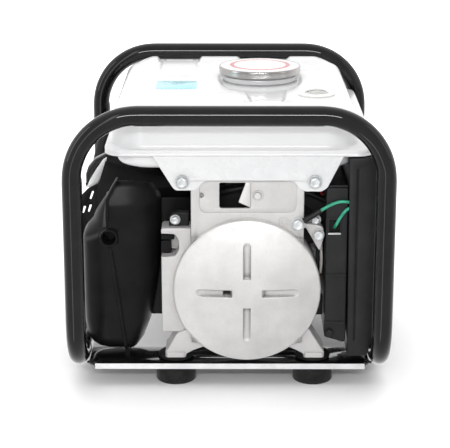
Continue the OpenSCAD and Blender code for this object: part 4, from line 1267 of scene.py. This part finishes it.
def flange_bolt(name, centre, r_head, r_flange, out=(0, -1, 0), spin=0.0):
    """A hexagon bolt with a washer face, chamfered corners and a dished top."""
    out = Vector(out)
    a = out.orthogonal().normalized()
    b = out.cross(a)
    points = []
    steps = 72
    tall = 5.6
    corner = r_head / math.cos(math.pi / 6)
    levels = [(r_flange - 0.3, 0.0, 0), (r_flange, 0.4, 0), (r_flange, 1.2, 0), (r_flange - 0.4, 1.6, 0),
        (r_head + 0.3, 1.75, 0.3), (0, 2.2, 1), (0, tall - 0.7, 1),
              (-0.25, tall - 0.25, 0.9), (r_head - 0.9, tall, 0.0), (r_head - 1.5, tall - 0.15, 0.0),
              (r_head - 2.6, tall - 0.6, 0.0), (0.02, tall - 0.7, 0.0)]
    for r, h, hexed in levels:
        for k in range(steps):
            t = 2 * math.pi * k / steps
            across = r_head / math.cos((t + math.pi / 6) % (math.pi / 3) - math.pi / 6)
            across = min(across, corner * 0.985)
            radius = r if hexed == 0 else (r * (1 - hexed) + across * hexed) if r > 0 else across + r
            w = t + spin
            points.append(Vector(centre) + out * h + (a * math.cos(w) + b * math.sin(w)) * radius)
    return piece(name, *lofted(points, steps), "zinc_steel", sharp=28)


EAR_X = (-44.3, 80.6)


def build_brackets():
    near = fillet([
        (-72.0, 229.5, 0), (-53.6, 199.5, 5), (-50.4, 196.0, 5), (-31.0, 196.2, 7), (-25.4, 203.2, 6),
        (-21.6, 205.2, 5),
        (60.6, 205.2, 8), (68.0, 196.6, 6), (72.2, 195.2, 6), (87.5, 195.2, 7), (92.5, 199.0, 6),
        (107.6, 229.5, 0),
    ])
    slab("bracket_near", near, [circle(x, 204.5, 3.3) for x in EAR_X], -150, -148, "bracket_white",
        replaces=["tank_brackets"], bevel=0.5)
    block("bracket_near_lip", (-71.5, 107.0, -149.6, -144.6, 1.0, 3, 10), "z", (226.8, 227.1, 229.2, 229.5),
        "bracket_white")
    far = fillet([
        (-70, 229.5, 0), (-53.4, 176, 5), (-53.4, 171.2, 1), (-34, 171.2, 4), (-22.3, 205, 8), (62.7, 205, 8),
        (73, 171.2, 4), (92.9, 171.2, 1), (92.9, 176, 5), (106.4, 229.5, 0),
    ])
    slab("bracket_far", far, [], 146, 148, "bracket_white", bevel=0.5)
    for x0, x1, cx, tag in ((-53.4, -34, EAR_X[0], "left"), (73, 92.9, EAR_X[1], "right")):
        arm = fillet([(x0, 104.4, 4), (x1, 104.4, 4), (x1, 147.0, 0), (x0, 147.0, 0)])
        slab("bracket_arm_" + tag, arm, [circle(cx, 116, 3.3)], 170.2, 172.8, "bracket_white", axis="z",
            bevel=0.5)
    flange_bolt("bolt_ear_left", (EAR_X[0], -150, 204.5), 4.5, 6.8, spin=0.35)
    flange_bolt("bolt_ear_right", (EAR_X[1], -150, 204.5), 4.5, 6.8, spin=0.1)
    flange_bolt("bolt_earth", (65.2, -149.2, 163.2), 4.6, 6.5, spin=0.2)
    flange_bolt("bolt_side_right", (85.2, -140, 150.2), 4.2, 5.8, spin=0.45)
    flange_bolt("bolt_side_left", (-51.4, -138, 164.5), 3.4, 4.9, spin=0.0)
    flange_bolt("bolt_arm_left", (EAR_X[0], 116, 172.8), 4.5, 6.6, out=(0, 0, 1), spin=0.2)
    flange_bolt("bolt_arm_right", (EAR_X[1], 116, 172.8), 4.5, 6.6, out=(0, 0, 1), spin=0.7)
    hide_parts("bracket_bolts")


COVER_R, DOME_R = 70.5, 253.5


def build_end_cover():
    """The cast dome with its four cooling slots, the small square hole and a rounded rim."""
    fine = [-4.6, -3.9, -3.55, -3.3, -3.0, -2.6, -2.1, -1.4, -0.7]
    coarse = [-70.5, -70.1, -69.7, -69.3, -68.9] + [-68.0 + 1.5 * k for k in range(int(63.0 / 1.5) + 1)]
    half_line = coarse + fine
    line_at = half_line + [0.0] + [-v for v in reversed(half_line)]
    n = len(line_at)
    points, faces = [], []

    def depth_at(x, z):
        r = math.hypot(x, z)
        y = -166 + DOME_R - math.sqrt(DOME_R ** 2 - r * r)
        if r > 69.0:
            y += 1.6 * (1 - math.sqrt(max(1 - ((r - 69.0) / 1.5) ** 2, 0.0)))
        cut = 0.0
        for along, over in ((x, z), (-x, z), (z, x), (-z, x)):
            if along > 8:
                inner = 15.4 - along
                if along > 44.5:
                    gap = math.hypot(along - 44.5, over) - 3.5
                else:
                    gap = max(abs(over) - 3.5, inner)
                cut = max(cut, (1 - smooth_step(gap, -0.45, 0.15)) * max(5.6 - 0.13 * (along - 15), 0.8))
        hole = max(abs(x + 18.9) - 3.4, abs(z + 0.1) - 2.1)
        cut += 9.0 * (1 - smooth_step(hole, -0.25, 0.25))
        grain = 0.10 * noise.noise(Vector((x * 0.11, z * 0.11, 4.0)))
        return y + cut + grain

    for z in line_at:
        for x in line_at:
            u, v = x / COVER_R, z / COVER_R
            t = max(abs(u), abs(v))
            px, pz = x, z
            if t > 1e-6:
                ex, ez = x / t, z / t
                k = COVER_R / math.hypot(ex, ez)
                w = smooth_step(t, 0.72, 1.0) if t < 1 else 1.0
                px, pz = x * (1 - w) + x * k * w, z * (1 - w) + z * k * w
            points.append((HUB_X + px, depth_at(px, pz), HUB_Z + pz))
    for j in range(n - 1):
        for i in range(n - 1):
            a = j * n + i
            faces.append((a, a + 1, a + n + 1, a + n))
    ring = list(range(n)) + [j * n + n - 1 for j in range(1, n)]
    ring += [(n - 1) * n + i for i in range(n - 2, -1, -1)] + [j * n for j in range(n - 2, 0, -1)]
    for y, grow in ((-151.5, 0.0), (-148.1, 0.05)):
        base = len(points)
        for k in ring:
            dx, dz = points[k][0] - HUB_X, points[k][2] - HUB_Z
            scale = (COVER_R + grow) / math.hypot(dx, dz)
            points.append((HUB_X + dx * scale, y, HUB_Z + dz * scale))
        ring = stitch(faces, ring, base)
    piece("dome_cover", points, faces, "cover_alloy", replaces=["end_cover"], sharp=50)
    # black block in the small hole: painted shade for the dark inside of it
    block("dome_hole_painted_shade", (HUB_X - 22.2, HUB_X - 15.6, HUB_Z - 2.3, HUB_Z + 2.1, 0.3, 5, 3), "y",
        (-157.6, -156.6), "shell_black")


def build_casting():
    """The alternator's end casting: its plate with the window and the pressed panel, the drum and the feet."""
    window = fillet([(-9.3, 203.0, 1.6), (-9.3, 178.0, 2.4), (20.5, 178.0, 2.6), (20.5, 203.0, 0.6)])
    panel = fillet([(-27.9, 206.4, 6), (-27.9, 174.0, 6), (63.6, 174.0, 7), (63.6, 206.4, 6)], 8)
    outer = fillet([(-36.2, 211, 3), (-36.2, 100, 0), (70.8, 100, 0), (70.8, 211, 3)])
    slab("casting_plate", outer, [panel], -148.2, -141, "cast_alloy", replaces=["end_bracket"], bevel=0.7,
        segments=3)
    floor_panel = fillet([(-29.5, 208.2, 6), (-29.5, 172.4, 7), (65.2, 172.4, 8), (65.2, 208.2, 6)], 8)
    slab("casting_panel", floor_panel, [window, circle(-26.3, 190.8, 2.5, 24)], -147.2, -144.0, "cast_alloy",
        bevel=0.35)
    drum = [(60.2, -112.4), (60.2, -139.5), (16.2, -139.5), (16.2, -147.6), (69.2, -147.95), (69.8, -147.6),
        (70.0, -147.0), (70.0, -113.4), (69.2, -112.2), (60.2, -112.2)]
    piece("casting_drum", *turned(drum, 160, (HUB_X, 0, HUB_Z), "y"), "cast_alloy", sharp=35)
    for name, outline in (
        ("foot_left", [(-30, 60, 0), (-50.6, 52.2, 9), (-59.2, 36.3, 4), (-61.8, 33.5, 1.5), (-61.8, 28, 0.6),
            (-42.4, 28, 0.8), (-40.6, 31.5, 2), (-35, 34.5, 6), (-24.7, 38.5, 8), (2, 46, 0), (2, 58, 0)]),
        ("foot_right", [(62, 68, 0), (77.3, 57.1, 9), (90.0, 36.5, 4), (92.3, 33.5, 1.5), (92.3, 28, 0.6),
            (73.4, 28, 0.8), (71.4, 31.5, 2), (65, 35, 6), (56, 39, 8), (32, 46, 0), (34, 60, 0)]),
    ):
        slab("casting_" + name, fillet(outline), [], -147.4, -114, "cast_alloy", bevel=1.1, segments=3)
    for x0, x1, tag in ((-61.8, -41.8, "left"), (72.3, 92.3, "right")):
        block("casting_pad_" + tag, (x0, x1, -149.0, -115.0, 3.5, 6, 5), "z", (28.0, 28.5, 32.2, 33.2),
            "cast_alloy", sharp=35)
    ear = fillet([(64, 163, 0), (71.9, 161.4, 1), (89.6, 158.6, 5), (91.0, 149.5, 6), (87.0, 132.4, 1.2),
        (73.4, 156.4, 0), (64, 157, 0)])
    slab("casting_ear", ear, [], -140.2, -130, "cast_alloy", bevel=0.9, segments=3)
    walls = [[(x, y, z) for x, z in rect_loop(-36.1, 70.7, 132, 210.8, 3)] for y in (-142, -114)]
    points, faces = stacked(walls, False, False)
    inner = [[(x, y, z) for x, z in rect_loop(-32.0, 66.4, 136, 206.8, 2)] for y in (-142, -114)]
    more_points, more_faces = stacked(inner, False, False)
    count = len(walls[0])
    both, both_faces = joined((points, faces), (more_points, more_faces))
    for k in range(count):
        m = (k + 1) % count
        both_faces.append((count + k, count + m, 3 * count + m, 3 * count + k))
        both_faces.append((k, m, 2 * count + m, 2 * count + k))
    piece("casting_tower", both, both_faces, "cast_alloy", sharp=35)
    # dowel, its countersink and a cast witness ring
    dowel = [(0.01, -149.7), (2.9, -149.6), (3.6, -148.9), (3.7, -147.0)]
    piece("casting_dowel", *turned(dowel, 32, (26.8, 0, 190.3), "y"), "cover_alloy", sharp=30)
    plug = [(0.01, -145.4), (1.0, -145.4), (1.2, -145.6), (2.4, -145.6), (2.45, -145.1)]
    piece("casting_plug", *turned(plug, 24, (-26.3, 0, 190.8), "y"), "machined_steel", sharp=30)
    sink = [(3.7, -147.3), (4.0, -147.32), (4.9, -148.2), (5.4, -148.1), (5.6, -147.1)]
    piece("casting_sink", *turned(sink, 36, (26.8, 0, 190.3), "y"), "cast_alloy", sharp=60)
    for r in (4.9, 2.6):
        witness = [(r - 0.5, -148.1), (r - 0.25, -148.75), (r + 0.25, -148.75), (r + 0.5, -148.1)]
        piece("casting_witness_%d" % round(r), *turned(witness, 48, (52.0, 0, 165.0), "y"), "cast_alloy",
            sharp=80)
    tab = fillet([(16.3, 204.6, 0), (20.3, 204.6, 0), (20.3, 178.6, 0.4), (8.8, 183.8, 0.7)])
    slab("casting_tab", tab, [], -147.0, -144.2, "cover_alloy", bevel=0.35)
    # black sheet behind the tower: painted shade that darkens what is seen through the window
    back = fillet([(-33, 134, 2), (91, 134, 2), (91, 207, 2), (-33, 207, 2)])
    slab("tower_back_painted_shade", back, [], -114.5, -112.4, "shell_black", bevel=0.4)
    flange_bolt("bolt_inner", (82.6, -131, 162.4), 3.4, 5.6, spin=0.2)


def rect_loop(x0, x1, z0, z1, r):
    return plan_loop(x0, x1, z0, z1, r, 5, 3)


def build_side_box():
    bite = fillet([(-63.5, 128.8, 0), (-59.2, 128.8, 0), (-51.2, 129.6, 5), (-47.9, 136, 7), (-47.9, 144.6, 7),
        (-51.2, 151.0, 5), (-59.2, 151.8, 0), (-63.5, 151.8, 0)], 8)
    outline = fillet([(-64.8, 52.8, 1.5), (-36.4, 52.8, 0), (-36.4, 157.4, 0), (-64.8, 157.4, 2.5)])
    shape = [p for p in outline if p[1] < 100] + [p for p in outline if p[1] > 100 and p[0] > -40]
    shape += [p for p in outline if p[1] > 100 and p[0] < -40] + [(-64.8, 151.8)]
    shape += [p for p in reversed(bite) if p[0] > -62] + [(-64.8, 128.8)]
    slab("side_casting", shape, [], -144, -118, "cast_alloy", replaces=["side_box"], bevel=1.0, segments=3)
    lug = fillet([(-57.4, 156, 0), (-38.6, 156, 0), (-38.6, 170.4, 1), (-46.0, 171.0, 5), (-52.6, 171.0, 5),
        (-57.4, 166, 5)])
    slab("side_lug", lug, [], -136, -126, "shell_black", bevel=1.2, segments=3)
    # the casting behind the slot and a hose stub in front of it
    block("side_inner", (-62.5, -48.5, 131, 150, 3, 5, 3), "y", (-124, -119), "cast_alloy")
    block("side_block", (-65.4, -55.6, 125.0, 141.2, 1.6, 5, 3), "y", (-131.6, -131.0, -112.0, -111.4),
        "exhaust_black", sharp=40)
    block("side_strap", (-65.4, -52.6, 142.2, 147.6, 1.4, 5, 3), "y", (-130.4, -130.0, -118.4, -118.0),
        "exhaust_black", sharp=40)
    screen = fillet([(-82, 56, 2), (-38, 56, 2), (-38, 176, 2), (-82, 176, 2)])
    slab("side_screen", screen, [], -101.0, -100.0, "exhaust_black", bevel=0.3)


def build_rear_box():
    """The box behind the control panel: a bar on top, a cable hole with a bright lower rim, a ribbed foot."""
    hole = fillet([(95.2, 153.6, 0.8), (105.2, 153.6, 0.8), (105.2, 166.6, 0.8), (95.2, 166.6, 0.8)], 3)
    outline = fillet([(92.2, 48.5, 2), (111.8, 42.4, 2), (112.6, 46, 1), (112.4, 197.6, 1.5),
        (92.2, 197.6, 1.5)], 4)
    slab("rear_box", outline, [hole], -146, -36, "black_plastic", replaces=["control_box_rear"], bevel=0.9,
        segments=3)
    bar = line((86.0, -145.0, 199.2), (112.0, -145.0, 199.2), 4)
    piece("rear_box_bar", *tube(bar, 1.25, 16), "shell_black", sharp=60)
    block("rear_box_bottom", (94.4, 106.0, 152.8, 167.4, 0.8, 3, 3), "y", (-139.0, -138.0), "shell_black")
    block("cable_hole_rim", (94.0, 106.2, -147.2, -145.6, 0.4, 3, 5), "z", (152.2, 152.5, 153.4, 153.7),
        "zinc_steel")
    frame_line = fillet([(93.6, 152.0, 1.2), (106.8, 152.0, 1.2), (106.8, 168.2, 1.2), (93.6, 168.2, 1.2)], 4)
    slab("cable_hole_frame", frame_line, [hole], -146.9, -145.9, "black_plastic", bevel=0.3)
    for z in (62.0, 110.0):
        block("rear_box_rib_%d" % z, (92.0, 112.3, -147.0, -145.2, 0.6, 3, 6), "z",
            (z, z + 0.5, z + 2.0, z + 2.5), "black_plastic")
    knob = [(0.01, -149.9), (3.2, -149.8), (3.9, -149.0), (4.0, -146.0)]
    piece("rear_box_knob", *turned(knob, 40, (96.8, 0, 53), "y"), "black_plastic", sharp=35)


def build_plate_lip():
    # the lips' bright colour is a painted reflection of the white surroundings in their glossy black paint
    lip = fillet([(-130.2, 17.3, 0.5), (131.7, 17.3, 0.5), (131.7, 22.8, 0.8), (-130.2, 22.8, 0.8)], 3)
    slab("plate_lip", lip, [], -152.6, -151.6, "zinc_and_painted_reflection", bevel=0.25)
    slab("plate_lip_far", lip, [], 151.6, 152.6, "zinc_and_painted_reflection", bevel=0.25)
    for side, x in ((-1, -133.6), (1, 134.2)):
        run = ((4.0, -149.5, 23.2), (1.5, -148.0, 23.6), (-1.0, -146.2, 23.9), (-3.0, -143.0, 24.2),
            (-4.0, -138.5, 24.4))
        bead = [(x + side * across, y, z) for across, y, z in run]
        curve_tube("plate_weld_%s" % ("left" if side < 0 else "right"), bead, 1.3, 12, "frame_black")


def build_rope():
    base, along, upward = rope_line()
    points = [base + along * (-ROPE_OUT + ROPE_LENGTH * k / 200) for k in range(201)]
    sides = 14
    _, faces = tube(points, 2.0, sides, up=tuple(upward))
    # three strands laid round each other
    path = frames(points, tuple(upward))
    made = []
    for i, (p, _, a, b) in enumerate(path):
        for k in range(sides):
            t = 2 * math.pi * k / sides
            r = 1.82 + 0.2 * abs(math.cos(1.5 * (t + i * 0.42)))
            made.append(p + (a * math.cos(t) + b * math.sin(t)) * r)
    rope = raw("rope_strands", made, faces)
    tidy(rope, 40)
    dress(rope, "starter_cord")
    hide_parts("starter_rope")
    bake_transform(rope, "chassis", "starter_pull", base * MM, (base - along * 167.0) * MM)


SOFTENED = {
    "cross_plates": 0.6, "stator_shell": 0.5, "crankcase": 0.9, "barrel": 0.35, "cylinder_head": 0.4,
    "fan_housing": 0.9,
    "rear_bracket": 0.6, "recoil_cover": 1.1, "air_case": 1.0, "air_cover": 1.1, "control_box": 1.0,
    "carburettor": 0.5, "fuel_cock": 0.4, "cooling_shroud": 0.5, "panel_fittings": 0.3, "outlet_lid": 0.5,
    "switch_rocker": 0.3, "breaker_button": 0.5, "starter_grip": 1.3, "choke_lever": 0.4, "cock_lever": 0.5,
    "ignition_coil": 0.7,
    "rubber_mounts": 0.7, "mount_bolts": 0.4, "plug_cap": 0.5, "spark_plug": 0.3, "stator_core": 0.3,
    "filler_neck": 0.3,
}


build_frame()
build_tank()
build_pan()
build_filler()
build_gauge()
build_labels()
build_muffler()
build_wires()
build_spring()
build_brackets()
build_end_cover()
build_casting()
build_side_box()
build_rear_box()
build_guards()
build_plate_lip()
build_rope()
for node, width in SOFTENED.items():
    softened(node, width)


# ---------------------------------------------------------------- stage, light and camera
def sky():
    """Studio surroundings: a soft bright dome, dark towards the camera's side."""
    world = bpy.data.worlds.new("studio")
    world.use_nodes = True
    tree = world.node_tree
    tree.nodes.clear()

    def add(kind, **values):
        node = tree.nodes.new(kind)
        for key, value in values.items():
            setattr(node, key, value)
        return node

    def span(value, low, high, to_low, to_high):
        node = add("ShaderNodeMapRange", interpolation_type="SMOOTHSTEP")
        for key, number in (("From Min", low), ("From Max", high), ("To Min", to_low), ("To Max", to_high)):
            node.inputs[key].default_value = number
        tree.links.new(value, node.inputs["Value"])
        return node.outputs["Result"]

    def product(*values):
        result = values[0]
        for value in values[1:]:
            node = add("ShaderNodeMath", operation="MULTIPLY")
            tree.links.new(result, node.inputs[0])
            tree.links.new(value, node.inputs[1])
            result = node.outputs[0]
        return result

    way = add("ShaderNodeSeparateXYZ")
    tree.links.new(add("ShaderNodeTexCoord").outputs["Generated"], way.inputs[0])
    across = span(way.outputs["Y"], -0.6, 0.95, 0.03, 0.66)
    below = span(way.outputs["Z"], -0.25, 0.02, 0.06, 0.0)
    band = span(way.outputs["X"], -0.42, -0.36, 0.0, 2.2)
    total = add("ShaderNodeMath", operation="ADD")
    tree.links.new(across, total.inputs[0])
    for part in (below, product(band, span(way.outputs["X"], -0.32, -0.25, 1.0, 0.0),
        span(way.outputs["Y"], -0.7, -0.5, 1.0, 0.0))):
        more = add("ShaderNodeMath", operation="ADD")
        tree.links.new(total.outputs[0], more.inputs[0])
        tree.links.new(part, more.inputs[1])
        total = more
    seen = add("ShaderNodeMath", operation="MAXIMUM")
    tree.links.new(total.outputs[0], seen.inputs[0])
    tree.links.new(add("ShaderNodeLightPath").outputs["Is Camera Ray"], seen.inputs[1])
    glow = add("ShaderNodeBackground")
    glow.inputs["Color"].default_value = (1, 1, 1, 1)
    tree.links.new(seen.outputs[0], glow.inputs["Strength"])
    tree.links.new(glow.outputs[0], add("ShaderNodeOutputWorld").inputs["Surface"])
    bpy.context.scene.world = world


def floor_and_light():
    sky()
    mesh = bpy.data.meshes.new("floor")
    mesh.from_pydata([(-6, -4, 0), (6, -4, 0), (6, 9, 0), (-6, 9, 0)], [], [(0, 1, 2, 3)])
    floor = bpy.data.objects.new("floor", mesh)
    bpy.context.collection.objects.link(floor)
    n = Net("floor_paper")
    n.tones(1.5, 2, 0.3, 0.7, (0.93, 0.93, 0.93), (0.95, 0.95, 0.95))
    n.gloss(4, 2, 0.5, 0.6)
    n.put(Emission_Color=(1, 1, 1, 1))
    reach = n.add("ShaderNodeVectorMath", operation="LENGTH")
    n.link(n.coord, reach.inputs[0])
    n.link(n.span(reach.outputs["Value"], 0.25, 1.3, 0.02, 0.8), n.bsdf.inputs["Emission Strength"])
    floor.data.materials.append(n.mat)
    floor.visible_glossy = False

    for name, place, aim, size, size_y, power in (
        ("top", (0.0, 0.9, 2.9), (0, 0.9, 0.0), 5.0, 4.0, 86),
        ("strip", (0.0, -1.9, 1.0), (0, 0, 0.2), 1.1, 0.16, 14),
        ("left", (-1.9, -0.5, 0.9), (0, 0, 0.15), 0.5, 1.3, 4),
        ("right", (1.9, -0.7, 1.0), (0, 0, 0.15), 0.5, 1.3, 1.6),
    ):
        lamp = bpy.data.lights.new(name, "AREA")
        lamp.shape = "RECTANGLE"
        lamp.size, lamp.size_y, lamp.energy = size, size_y, power
        thing = bpy.data.objects.new(name, lamp)
        thing.location = place
        thing.rotation_euler = (Vector(aim) - Vector(place)).to_track_quat("-Z", "Y").to_euler()
        thing.visible_glossy = name != "top"
        bpy.context.collection.objects.link(thing)


FOCAL_MM, SENSOR_MM = 121.2, 36
EYE = (0, -1.5264, 0.5646)  # metres
LOOK_DOWN, LOOK_LEFT = 16.25, 0.163  # degrees


def camera():
    lens = bpy.data.cameras.new("camera")
    lens.lens, lens.sensor_width = FOCAL_MM, SENSOR_MM
    eye = bpy.data.objects.new("camera", lens)
    eye.location = EYE
    eye.rotation_euler = (math.radians(90 - LOOK_DOWN), 0, math.radians(LOOK_LEFT))
    bpy.context.collection.objects.link(eye)
    bpy.context.scene.camera = eye


floor_and_light()
camera()
bpy.context.scene.view_settings.view_transform = "Standard"
